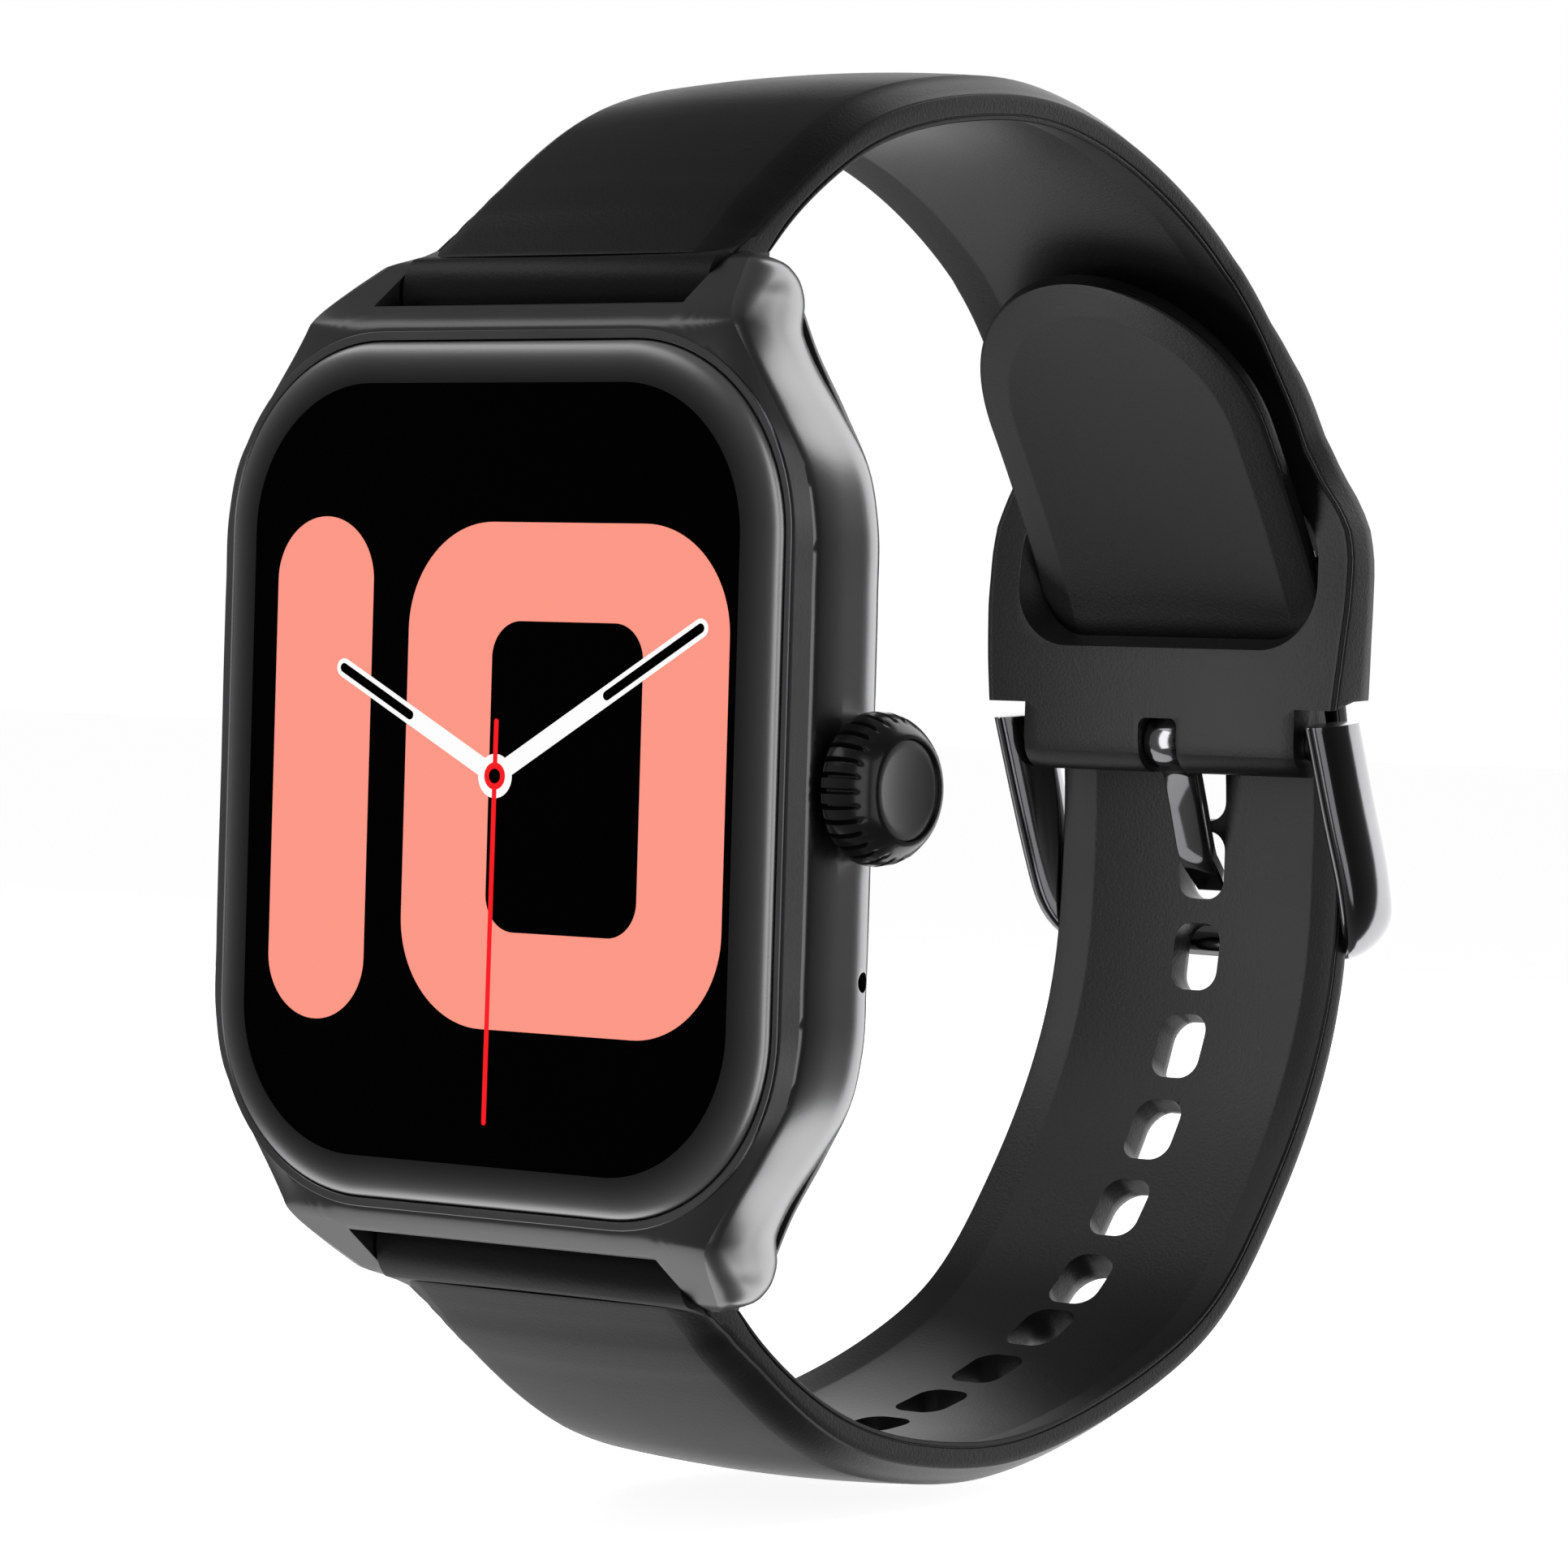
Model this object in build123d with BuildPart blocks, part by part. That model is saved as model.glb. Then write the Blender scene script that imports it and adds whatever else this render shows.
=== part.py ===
from build123d import *
import math
import os

# A square smartwatch with a silicone strap, buckled shut.
# +X is the crown side, +Y runs from the dial back to the wrist, +Z runs towards 12 o'clock.
# The origin is the middle of the sensor window's face, where the watch touches the wrist.

os.makedirs("parts", exist_ok=True)

# Case: half widths run along X and half heights along Z.
case_half_w = 21.1
case_half_h = 24.9
case_corner = 12.0
front_y = -10.0
flange_y = -9.27
shoulder_y = -8.44
shoulder_z = 25.56
rim_y = -3.2
cavity_half_w = 19.0
cavity_half_h = 23.0
cavity_corner = 10.0
cavity_front_y = -7.5

# The back's dome: depth, half width, half height and corner radius of each step.
back_steps = (
    (-2.9, 20.5, 24.3, 11.4),
    (-2.3, 19.6, 23.4, 10.5),
    (-1.1, 14.6, 16.6, 10.0),
    (-0.5, 13.4, 13.4, 13.3),
)

# The back's four screws with their bosses, and the two charging pads.
screw_x = 14.5
screw_z = 18.5
boss_x = 14.9
boss_z = 18.9
pad_x = 3.5
pad_y = -1.05
pad_z = -17.4
pad_r = 1.05

# The works: where each lies as (x, z), its width and height, its rear depth and its thickness.
battery_at = (-3.3, -6.2)
battery_size = (23.0, 21.0)
battery_y = -3.6
battery_t = 3.1
board_at = (-1.0, 12.3)
board_size = (24.0, 13.0)
board_y = -5.9
board_t = 0.8
shield_at = (-3.5, 12.3)
shield_size = (15.0, 10.5)
shield_y = -4.5
shield_t = 1.4
motor_at = (11.3, -5.2, -9.5)
motor_r = 1.5
motor_length = 7.0
speaker_at = (-1.0, -20.2)
speaker_size = (14.0, 4.4)
speaker_y = -4.0
speaker_t = 2.6
mic_at = (17.1, -10.3)
mic_size = (2.6, 3.4)
mic_y = -3.8
mic_t = 1.2
sensor_r = 12.6
sensor_t = 1.3
sensor_board_r = 11.2
sensor_board_y = -2.2
sensor_board_t = 0.7

# Glass and what lies under it.
glass_half_w = 19.5
glass_half_h = 23.5
glass_corner = 10.5
glass_top_y = -10.85
glass_back_y = -8.9
ring_width = 0.45
ring_depth = 0.6
ledge_y = -8.7

# Lugs and spring bars.
lug_gap = 22.0
lug_r = 2.05
bar_y = -4.0
bar_z = 26.55
bar_tube_r = 0.75
bar_pin_r = 0.4
lug_hole_r = 0.45
lug_hole_depth = 1.5
pocket_r = 2.6
lug_corner = 1.3

# Crown.
crown_y = -5.15
crown_back_x = 21.45
crown_face_x = 24.6
crown_r = 4.15
crown_face_r = 3.05
crown_dish_r = 2.72
crown_slots = 30
stem_r = 0.9
stem_bore_r = 0.95

# Strap.
strap_w0 = 10.9
strap_w1 = 10.15
strap_wall = 1.5
strap_bevel_w = 2.05
strap_bevel_h = 1.1
strap_crown = 0.45
recess = 0.4
margin_lip = 0.3
margin_w = 2.6
roll_r = 2.3
tip_length = 11.0

# Buckle.
buckle_y = 54.6
buckle_z = 2.4
buckle_bar_r = 0.9
buckle_bore_r = 0.95
buckle_bar_half = 12.0
housing_r = 1.95
arm_swing_r = 2.8
arm_inner = 10.6
arm_outer = 12.7
housing_half_w = 10.1
hole_pitch = 5.5
hole_w = 3.4
hole_h = 4.2
hole_r = 1.25
hole_count = 11
hole_start_z = -6.0


def facing(y):
    """A plane at depth y that looks forward, with X to the right and Z up."""
    return Plane.XZ.offset(-y)


def across(x):
    """A plane at width x that looks along +X, with Y to the right and Z up."""
    return Plane.YZ.offset(x)


def smooth(value, low, high):
    """Goes from 0 at low to 1 at high with level ends."""
    t = min(max((value - low) / (high - low), 0.0), 1.0)
    return t * t * (3 - 2 * t)


def finish(builder, name):
    builder.part.label = name
    export_step(builder.part, "parts/" + name + ".step")


def case_outline(inset, horn_top):
    """The case's front outline with its four lugs."""
    inner = lug_gap / 2
    foot = (19.6 - inset, 17.2)
    waist = (15.9 - inset, 22.0)
    hip = (14.5 - inset, 24.9)
    tip = (14.4 - inset, horn_top - lug_corner)
    corner = (14.4 - lug_corner - inset, horn_top)
    with BuildSketch(Plane.XY) as outline:
        with BuildLine():
            Spline(foot, waist, hip, tip, tangents=((-0.3, 1), (0, 1)))
            RadiusArc(tip, corner, -lug_corner)
            Polyline(corner, (inner, horn_top), (inner, 17.2), foot)
        make_face()
        mirror(about=Plane.YZ)
        mirror(about=Plane.XZ)
        RectangleRounded(
            2 * (case_half_w - inset), 2 * (case_half_h - inset), case_corner - inset
        )
    return outline.sketch


def side_profile(back_y):
    """The case's side outline, with the lugs curving back to their round tips."""
    reach = math.hypot(bar_y - shoulder_y, bar_z - shoulder_z)
    lean = math.atan2(bar_z - shoulder_z, bar_y - shoulder_y)
    lean += math.asin(lug_r / reach)
    run = math.sqrt(reach**2 - lug_r**2)
    touch = (shoulder_y + run * math.cos(lean), shoulder_z + run * math.sin(lean))
    with BuildSketch(Plane.XY) as profile:
        with BuildLine():
            Polyline(
                (back_y, 0),
                (front_y, 0),
                (front_y, glass_half_h + 0.6),
                (flange_y, case_half_h + 0.05),
                (shoulder_y, shoulder_z),
                touch,
                (bar_y, bar_z),
                (back_y, bar_z),
                close=True,
            )
        make_face()
        with Locations((bar_y, bar_z)):
            Circle(lug_r)
        mirror(about=Plane.XZ)
    return profile.sketch


# ---------------------------------------------------------------- case shell
with BuildPart() as mid_frame:
    with BuildSketch(facing(rim_y)):
        add(case_outline(0.0, bar_z + lug_r + 0.2))
    extrude(amount=rim_y - front_y)
    with BuildSketch(across(0)):
        add(side_profile(rim_y))
    extrude(amount=case_half_w + 1, both=True, mode=Mode.INTERSECT)
    outer_rim = mid_frame.edges().filter_by(GeomType.LINE).filter_by(Axis.Z)
    chamfer(outer_rim.filter_by_position(Axis.Y, front_y - 0.01, front_y + 0.01), 0.7)
    # The space between the lugs, with a round pocket behind its front edge.
    with BuildSketch(across(0)):
        with BuildLine():
            Polyline(
                (front_y - 1, shoulder_z),
                (bar_y, shoulder_z),
                (bar_y, shoulder_z + 6),
                (front_y - 1, shoulder_z + 6),
                close=True,
            )
        make_face()
        with Locations((bar_y, bar_z)):
            Circle(pocket_r)
        with Locations((bar_y + 3, bar_z)):
            Rectangle(6, 2 * pocket_r)
        mirror(about=Plane.XZ)
    extrude(amount=lug_gap / 2, both=True, mode=Mode.SUBTRACT)
    # The room for the works, the ledge under the glass and the glass's own seat.
    with BuildSketch(facing(rim_y)):
        RectangleRounded(2 * cavity_half_w, 2 * cavity_half_h, cavity_corner)
        for side_x in (-1, 1):
            for side_z in (-1, 1):
                with Locations((side_x * boss_x, side_z * boss_z)):
                    Circle(2.1, mode=Mode.SUBTRACT)
    extrude(amount=rim_y - cavity_front_y, mode=Mode.SUBTRACT)
    with BuildSketch(facing(cavity_front_y)):
        RectangleRounded(2 * 18.3, 2 * 22.3, 9.3)
    extrude(amount=cavity_front_y - ledge_y, mode=Mode.SUBTRACT)
    with BuildSketch(facing(ledge_y)):
        RectangleRounded(2 * glass_half_w + 0.2, 2 * glass_half_h + 0.2, glass_corner + 0.1)
    extrude(amount=ledge_y - front_y + 1, mode=Mode.SUBTRACT)
    with BuildSketch(facing(front_y + ring_depth)):
        RectangleRounded(
            2 * (glass_half_w + 0.1 + ring_width),
            2 * (glass_half_h + 0.1 + ring_width),
            glass_corner + 0.1 + ring_width,
        )
    extrude(amount=ring_depth + 1, mode=Mode.SUBTRACT)
    # Holes: the crown's tube, the microphone and the four lug holes.
    with Locations(across(cavity_half_w - 1)):
        with Locations((crown_y, 0)):
            Cylinder(1.7, 8, align=(Align.CENTER, Align.CENTER, Align.MIN), mode=Mode.SUBTRACT)
    with Locations(across(cavity_half_w - 1)):
        with Locations((-4.1, -10.3)):
            Cylinder(0.45, 8, align=(Align.CENTER, Align.CENTER, Align.MIN), mode=Mode.SUBTRACT)
    for side_z in (-1, 1):
        with Locations((0, bar_y, side_z * bar_z)):
            Cylinder(
                lug_hole_r,
                lug_gap + 2 * lug_hole_depth,
                rotation=(0, 90, 0),
                mode=Mode.SUBTRACT,
            )
    with BuildSketch(facing(rim_y)):
        for side_x in (-1, 1):
            for side_z in (-1, 1):
                with Locations((side_x * screw_x, side_z * screw_z)):
                    Circle(0.5)
    extrude(amount=2.6, mode=Mode.SUBTRACT)
finish(mid_frame, "mid_frame")

with BuildPart() as bezel_ring:
    with BuildSketch(facing(front_y + ring_depth)):
        RectangleRounded(
            2 * (glass_half_w + 0.1 + ring_width),
            2 * (glass_half_h + 0.1 + ring_width),
            glass_corner + 0.1 + ring_width,
        )
        RectangleRounded(
            2 * (glass_half_w + 0.1),
            2 * (glass_half_h + 0.1),
            glass_corner + 0.1,
            mode=Mode.SUBTRACT,
        )
    extrude(amount=ring_depth)
    chamfer(bezel_ring.faces().sort_by(Axis.Y)[0].outer_wire().edges(), 0.12)
finish(bezel_ring, "bezel_ring")

with BuildPart() as cover_glass:
    with BuildSketch(facing(glass_back_y)):
        RectangleRounded(2 * glass_half_w, 2 * glass_half_h, glass_corner)
    extrude(amount=glass_back_y - glass_top_y)
    chamfer(cover_glass.faces().sort_by(Axis.Y)[0].edges(), 0.8, 2.2)
    fillet(cover_glass.faces().sort_by(Axis.Y)[0].edges(), 1.2)
finish(cover_glass, "cover_glass")

with BuildPart() as display_gasket:
    with BuildSketch(facing(ledge_y)):
        RectangleRounded(2 * 19.4, 2 * 23.4, 10.4)
        RectangleRounded(2 * 18.4, 2 * 22.4, 9.4, mode=Mode.SUBTRACT)
    extrude(amount=ledge_y - glass_back_y)
finish(display_gasket, "display_gasket")

with BuildPart() as display_panel:
    with BuildSketch(facing(-7.75)):
        RectangleRounded(2 * 18.1, 2 * 22.1, 9.1)
    extrude(amount=-7.75 - glass_back_y)
finish(display_panel, "display_panel")

# ---------------------------------------------------------------- works
with BuildPart() as chassis_plate:
    with BuildSketch(facing(-6.9)):
        RectangleRounded(2 * 18.7, 2 * 22.7, 9.7)
        for side_x in (-1, 1):
            for side_z in (-1, 1):
                with Locations((side_x * boss_x, side_z * boss_z)):
                    Circle(2.4, mode=Mode.SUBTRACT)
        with Locations((18.0, 0)):
            Rectangle(6, 9, mode=Mode.SUBTRACT)
    extrude(amount=0.5)
finish(chassis_plate, "chassis_plate")

with BuildPart() as battery:
    with BuildSketch(facing(battery_y)):
        with Locations(battery_at):
            RectangleRounded(*battery_size, 1.5)
    extrude(amount=battery_t)
    fillet(battery.edges().filter_by(GeomType.LINE, reverse=True), 0.4)
finish(battery, "battery")

with BuildPart() as main_board:
    with BuildSketch(facing(board_y)):
        with Locations(board_at):
            RectangleRounded(*board_size, 1.0)
    extrude(amount=board_t)
finish(main_board, "main_board")

with BuildPart() as board_shield:
    with BuildSketch(facing(shield_y)):
        with Locations(shield_at):
            RectangleRounded(*shield_size, 0.8)
    extrude(amount=shield_t)
    fillet(board_shield.faces().sort_by(Axis.Y)[-1].edges(), 0.25)
finish(board_shield, "board_shield")

with BuildPart() as vibration_motor:
    with Locations(motor_at):
        Cylinder(motor_r, motor_length)
finish(vibration_motor, "vibration_motor")

with BuildPart() as speaker:
    with BuildSketch(facing(speaker_y)):
        with Locations(speaker_at):
            RectangleRounded(*speaker_size, 0.8)
    extrude(amount=speaker_t)
finish(speaker, "speaker")

with BuildPart() as microphone:
    with BuildSketch(facing(mic_y)):
        with Locations(mic_at):
            Rectangle(*mic_size)
    extrude(amount=mic_t)
finish(microphone, "microphone")

# ---------------------------------------------------------------- back
with BuildPart() as back_cover:
    with BuildSketch(facing(-2.8)):
        add(case_outline(0.6, bar_z - 0.55))
    extrude(amount=-2.8 - rim_y)
    for depth, half_w, half_h, corner in back_steps:
        with BuildSketch(facing(depth)):
            RectangleRounded(2 * half_w, 2 * half_h, corner)
    loft(ruled=True)
    with BuildSketch(across(0)):
        for side_z in (-1, 1):
            with Locations((bar_y, side_z * bar_z)):
                Circle(pocket_r)
            with Locations((bar_y + 3, side_z * bar_z)):
                Rectangle(6, 2 * pocket_r)
    extrude(amount=lug_gap / 2, both=True, mode=Mode.SUBTRACT)
    with BuildSketch(facing(rim_y)):
        RectangleRounded(2 * 17.6, 2 * 20.4, 8.6)
        for side_x in (-1, 1):
            for side_z in (-1, 1):
                with Locations((side_x * screw_x, side_z * screw_z)):
                    Circle(2.2, mode=Mode.SUBTRACT)
    extrude(amount=-1.2, mode=Mode.SUBTRACT)
    with BuildSketch(facing(-3.3)):
        Circle(11.6)
    extrude(amount=-4, mode=Mode.SUBTRACT)
    with BuildSketch(facing(-1.4)):
        Circle(sensor_r + 0.1)
    extrude(amount=-2, mode=Mode.SUBTRACT)
    for side_x in (-1, 1):
        for side_z in (-1, 1):
            with Locations((side_x * screw_x, 0, side_z * screw_z)):
                Cylinder(0.6, 12, rotation=(90, 0, 0), mode=Mode.SUBTRACT)
            with Locations((side_x * screw_x, -1.7, side_z * screw_z)):
                Cylinder(
                    1.15,
                    3,
                    rotation=(-90, 0, 0),
                    align=(Align.CENTER, Align.CENTER, Align.MIN),
                    mode=Mode.SUBTRACT,
                )
    with Locations((-pad_x, 0, pad_z), (pad_x, 0, pad_z)):
        Cylinder(1.1, 12, rotation=(90, 0, 0), mode=Mode.SUBTRACT)
finish(back_cover, "back_cover")

with BuildPart() as back_gasket:
    with BuildSketch(facing(rim_y)):
        RectangleRounded(2 * 18.7, 2 * 22.3, 9.7)
        RectangleRounded(2 * 18.1, 2 * 21.7, 9.1, mode=Mode.SUBTRACT)
        for side_x in (-1, 1):
            for side_z in (-1, 1):
                with Locations((side_x * boss_x, side_z * boss_z)):
                    Circle(2.2, mode=Mode.SUBTRACT)
    extrude(amount=0.5)
finish(back_gasket, "back_gasket")

with BuildPart() as case_screws:
    for side_x in (-1, 1):
        for side_z in (-1, 1):
            with Locations((side_x * screw_x, -1.7, side_z * screw_z)):
                Cylinder(
                    1.05,
                    0.4,
                    rotation=(-90, 0, 0),
                    align=(Align.CENTER, Align.CENTER, Align.MIN),
                )
                Cylinder(
                    0.45,
                    3.6,
                    rotation=(90, 0, 0),
                    align=(Align.CENTER, Align.CENTER, Align.MIN),
                )
            with BuildSketch(facing(-1.5)):
                with Locations((side_x * screw_x, side_z * screw_z)):
                    SlotOverall(1.5, 0.35)
            extrude(amount=-0.5, mode=Mode.SUBTRACT)
finish(case_screws, "case_screws")

with BuildPart() as sensor_window:
    with BuildSketch(facing(0)):
        Circle(sensor_r)
    extrude(amount=sensor_t)
    fillet(sensor_window.faces().sort_by(Axis.Y)[-1].edges(), 0.8)
finish(sensor_window, "sensor_window")

with BuildPart() as sensor_board:
    with BuildSketch(facing(sensor_board_y)):
        Circle(sensor_board_r)
    extrude(amount=sensor_board_t)
finish(sensor_board, "sensor_board")

with BuildPart() as sensor_leds:
    for side_x in (-1, 1):
        for side_z in (-1, 1):
            with Locations((side_x * 1.3, -1.9, side_z * 1.3)):
                Box(1.1, 0.6, 1.1)
finish(sensor_leds, "sensor_leds")

with BuildPart() as photodiodes:
    with BuildSketch(facing(-1.6)):
        with PolarLocations(6.6, 4, start_angle=45):
            Rectangle(2.4, 2.8)
    extrude(amount=0.6)
finish(photodiodes, "photodiodes")

with BuildPart() as charging_contacts:
    with Locations((-pad_x, pad_y, pad_z), (pad_x, pad_y, pad_z)):
        Cylinder(pad_r, 1.5, rotation=(90, 0, 0), align=(Align.CENTER, Align.CENTER, Align.MIN))
finish(charging_contacts, "charging_contacts")

# ---------------------------------------------------------------- crown
with BuildPart() as crown_knob:
    with BuildSketch(Plane.XZ.offset(-crown_y)):
        with BuildLine():
            Polyline(
                (crown_face_x - 0.25, 0),
                (crown_back_x, 0),
                (crown_back_x, 3.5),
                (crown_back_x + 0.35, crown_r - 0.1),
            )
            ThreePointArc(
                (crown_back_x + 0.35, crown_r - 0.1),
                (crown_back_x + 1.6, crown_r - 0.12),
                (crown_face_x, crown_face_r),
            )
            Polyline(
                (crown_face_x, crown_face_r),
                (crown_face_x, crown_dish_r),
                (crown_face_x - 0.25, crown_dish_r - 0.3),
                (crown_face_x - 0.25, 0),
            )
        make_face()
    revolve(axis=Axis((0, crown_y, 0), (1, 0, 0)))
    with BuildSketch(Plane.YZ.offset(crown_back_x - 0.1)):
        with Locations((crown_y, 0)):
            with PolarLocations(crown_r + 0.1, crown_slots, start_angle=5):
                Rectangle(0.9, 0.36)
    extrude(amount=2.6, mode=Mode.SUBTRACT)
    with Locations((crown_back_x, crown_y, 0)):
        Cylinder(
            stem_r,
            1.4,
            rotation=(0, 90, 0),
            align=(Align.CENTER, Align.CENTER, Align.MIN),
            mode=Mode.SUBTRACT,
        )
finish(crown_knob, "crown_knob")

with BuildPart() as crown_stem:
    with Locations((15.2, crown_y, 0)):
        Cylinder(
            stem_r, 7.6, rotation=(0, 90, 0), align=(Align.CENTER, Align.CENTER, Align.MIN)
        )
    with Locations((15.2, crown_y, 0)):
        Cylinder(
            1.35, 0.5, rotation=(0, 90, 0), align=(Align.CENTER, Align.CENTER, Align.MIN)
        )
    for groove_x in (18.9, 19.9):
        with BuildSketch(Plane.YZ.offset(groove_x)):
            with Locations((crown_y, 0)):
                Circle(stem_r + 0.1)
                Circle(0.62, mode=Mode.SUBTRACT)
        extrude(amount=0.5, mode=Mode.SUBTRACT)
finish(crown_stem, "crown_stem")

with BuildPart() as crown_seals:
    for groove_x in (19.15, 20.15):
        with BuildSketch(Plane.XZ.offset(-crown_y)):
            with Locations((groove_x, 0.775)):
                Circle(0.15)
        revolve(axis=Axis((0, crown_y, 0), (1, 0, 0)))
finish(crown_seals, "crown_seals")

with BuildPart() as crown_tube:
    with Locations((18.85, crown_y, 0)):
        Cylinder(
            1.68, 2.25, rotation=(0, 90, 0), align=(Align.CENTER, Align.CENTER, Align.MIN)
        )
        Cylinder(
            stem_bore_r,
            2.25,
            rotation=(0, 90, 0),
            align=(Align.CENTER, Align.CENTER, Align.MIN),
            mode=Mode.SUBTRACT,
        )
finish(crown_tube, "crown_tube")

with BuildPart() as crown_carriage:
    with BuildSketch(Plane.YZ.offset(15.85)):
        with Locations((crown_y, 0)):
            RectangleRounded(3.2, 6.0, 0.5)
            Circle(stem_bore_r, mode=Mode.SUBTRACT)
    extrude(amount=1.5)
finish(crown_carriage, "crown_carriage")

with BuildPart() as crown_guide:
    for side_z in (-1, 1):
        with BuildSketch(Plane.YZ.offset(15.2)):
            with Locations((crown_y, side_z * 3.65)):
                Rectangle(3.0, 1.1)
        extrude(amount=2.7)
finish(crown_guide, "crown_guide")

with BuildPart() as crown_switch:
    with BuildSketch(Plane.YZ.offset(12.4)):
        with Locations((crown_y, 0)):
            RectangleRounded(3.0, 3.6, 0.3)
    extrude(amount=1.8)
    with Locations((14.2, crown_y, 0)):
        Cylinder(
            0.6, 0.65, rotation=(0, 90, 0), align=(Align.CENTER, Align.CENTER, Align.MIN)
        )
finish(crown_switch, "crown_switch")


# ---------------------------------------------------------------- spring bars
def bar_tube(side):
    """Adds a spring bar's tube with its fixed pin to the part being built."""
    with Locations((-10.6, bar_y, side * bar_z)):
        Cylinder(
            bar_tube_r, 21.0, rotation=(0, 90, 0), align=(Align.CENTER, Align.CENTER, Align.MIN)
        )
    with Locations((-12.1, bar_y, side * bar_z)):
        Cylinder(
            bar_pin_r, 1.6, rotation=(0, 90, 0), align=(Align.CENTER, Align.CENTER, Align.MIN)
        )
    with Locations((1.5, bar_y, side * bar_z)):
        Cylinder(
            bar_pin_r + 0.05,
            10,
            rotation=(0, 90, 0),
            align=(Align.CENTER, Align.CENTER, Align.MIN),
            mode=Mode.SUBTRACT,
        )
    with Locations((7.4, bar_y + 0.5, side * bar_z)):
        Box(2.0, 1.0, 0.7, mode=Mode.SUBTRACT)


def bar_pin(side):
    """Adds a spring bar's sliding pin, and the lever a finger pushes, to the part being built."""
    with Locations((7.7, bar_y, side * bar_z)):
        Cylinder(
            bar_pin_r, 4.4, rotation=(0, 90, 0), align=(Align.CENTER, Align.CENTER, Align.MIN)
        )
    with Locations((8.0, bar_y, side * bar_z)):
        Cylinder(
            0.25, 2.6, rotation=(-90, 0, 0), align=(Align.CENTER, Align.CENTER, Align.MIN)
        )
    with Locations((8.0, bar_y + 2.45, side * bar_z)):
        Cylinder(
            0.55, 0.6, rotation=(-90, 0, 0), align=(Align.CENTER, Align.CENTER, Align.MIN)
        )


with BuildPart() as upper_bar_tube:
    bar_tube(1)
finish(upper_bar_tube, "upper_bar_tube")

with BuildPart() as lower_bar_tube:
    bar_tube(-1)
finish(lower_bar_tube, "lower_bar_tube")

with BuildPart() as upper_bar_pin:
    bar_pin(1)
finish(upper_bar_pin, "upper_bar_pin")

with BuildPart() as lower_bar_pin:
    bar_pin(-1)
finish(lower_bar_pin, "lower_bar_pin")


# ---------------------------------------------------------------- strap
def strap_section(half_w, wall, bevel_h, crown):
    """A strap's cross section: inner face on local y = 0, outer face above it."""
    bevel_w = strap_bevel_w
    with BuildSketch(Plane.XY) as section:
        with BuildLine():
            Polyline(
                (-half_w + bevel_w, wall + bevel_h),
                (-half_w, wall),
                (-half_w, 0),
                (-half_w + margin_lip, 0),
                (-half_w + margin_w, recess),
                (half_w - margin_w, recess),
                (half_w - margin_lip, 0),
                (half_w, 0),
                (half_w, wall),
                (half_w - bevel_w, wall + bevel_h),
            )
            ThreePointArc(
                (half_w - bevel_w, wall + bevel_h),
                (0, wall + bevel_h + crown),
                (-half_w + bevel_w, wall + bevel_h),
            )
        make_face()
    return section.sketch


def strap_root(side):
    """The side view of a strap's rounded end around its spring bar."""
    with BuildSketch(Plane.XY) as root:
        with Locations((bar_y, bar_z * side)):
            Circle(roll_r)
        with BuildLine():
            Polyline(
                (-6.1, side * 27.2),
                (-5.6, side * 28.5),
                (-3.1, side * 30.9),
                (-1.0, side * 28.75),
                (-1.75, side * 26.8),
                close=True,
            )
        make_face()
    return root.sketch


def strap_bar_holes(side):
    """Cuts the spring bar's tunnel and its lever's slot from the part being built."""
    with Locations((0, bar_y, side * bar_z)):
        Cylinder(bar_tube_r + 0.03, 30, rotation=(0, 90, 0), mode=Mode.SUBTRACT)
    with Locations((7.4, bar_y + 2, side * bar_z)):
        Box(2.6, 4.0, 1.3, mode=Mode.SUBTRACT)


with BuildLine() as upper_path:
    Spline(
        (0, -1.0, 28.75),
        (0, 4.4, 33.15),
        (0, 10.0, 35.75),
        (0, 17.5, 37.45),
        (0, 24.8, 37.75),
        (0, 31.4, 36.5),
        (0, 37.6, 34.0),
        (0, 43.0, 30.6),
        (0, 48.9, 24.7),
        (0, 51.9, 20.2),
        (0, 53.1, 16.2),
        (0, 53.05, 12.5),
        (0, 52.8, 9.0),
        (0, 52.55, 4.46),
    )

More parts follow.
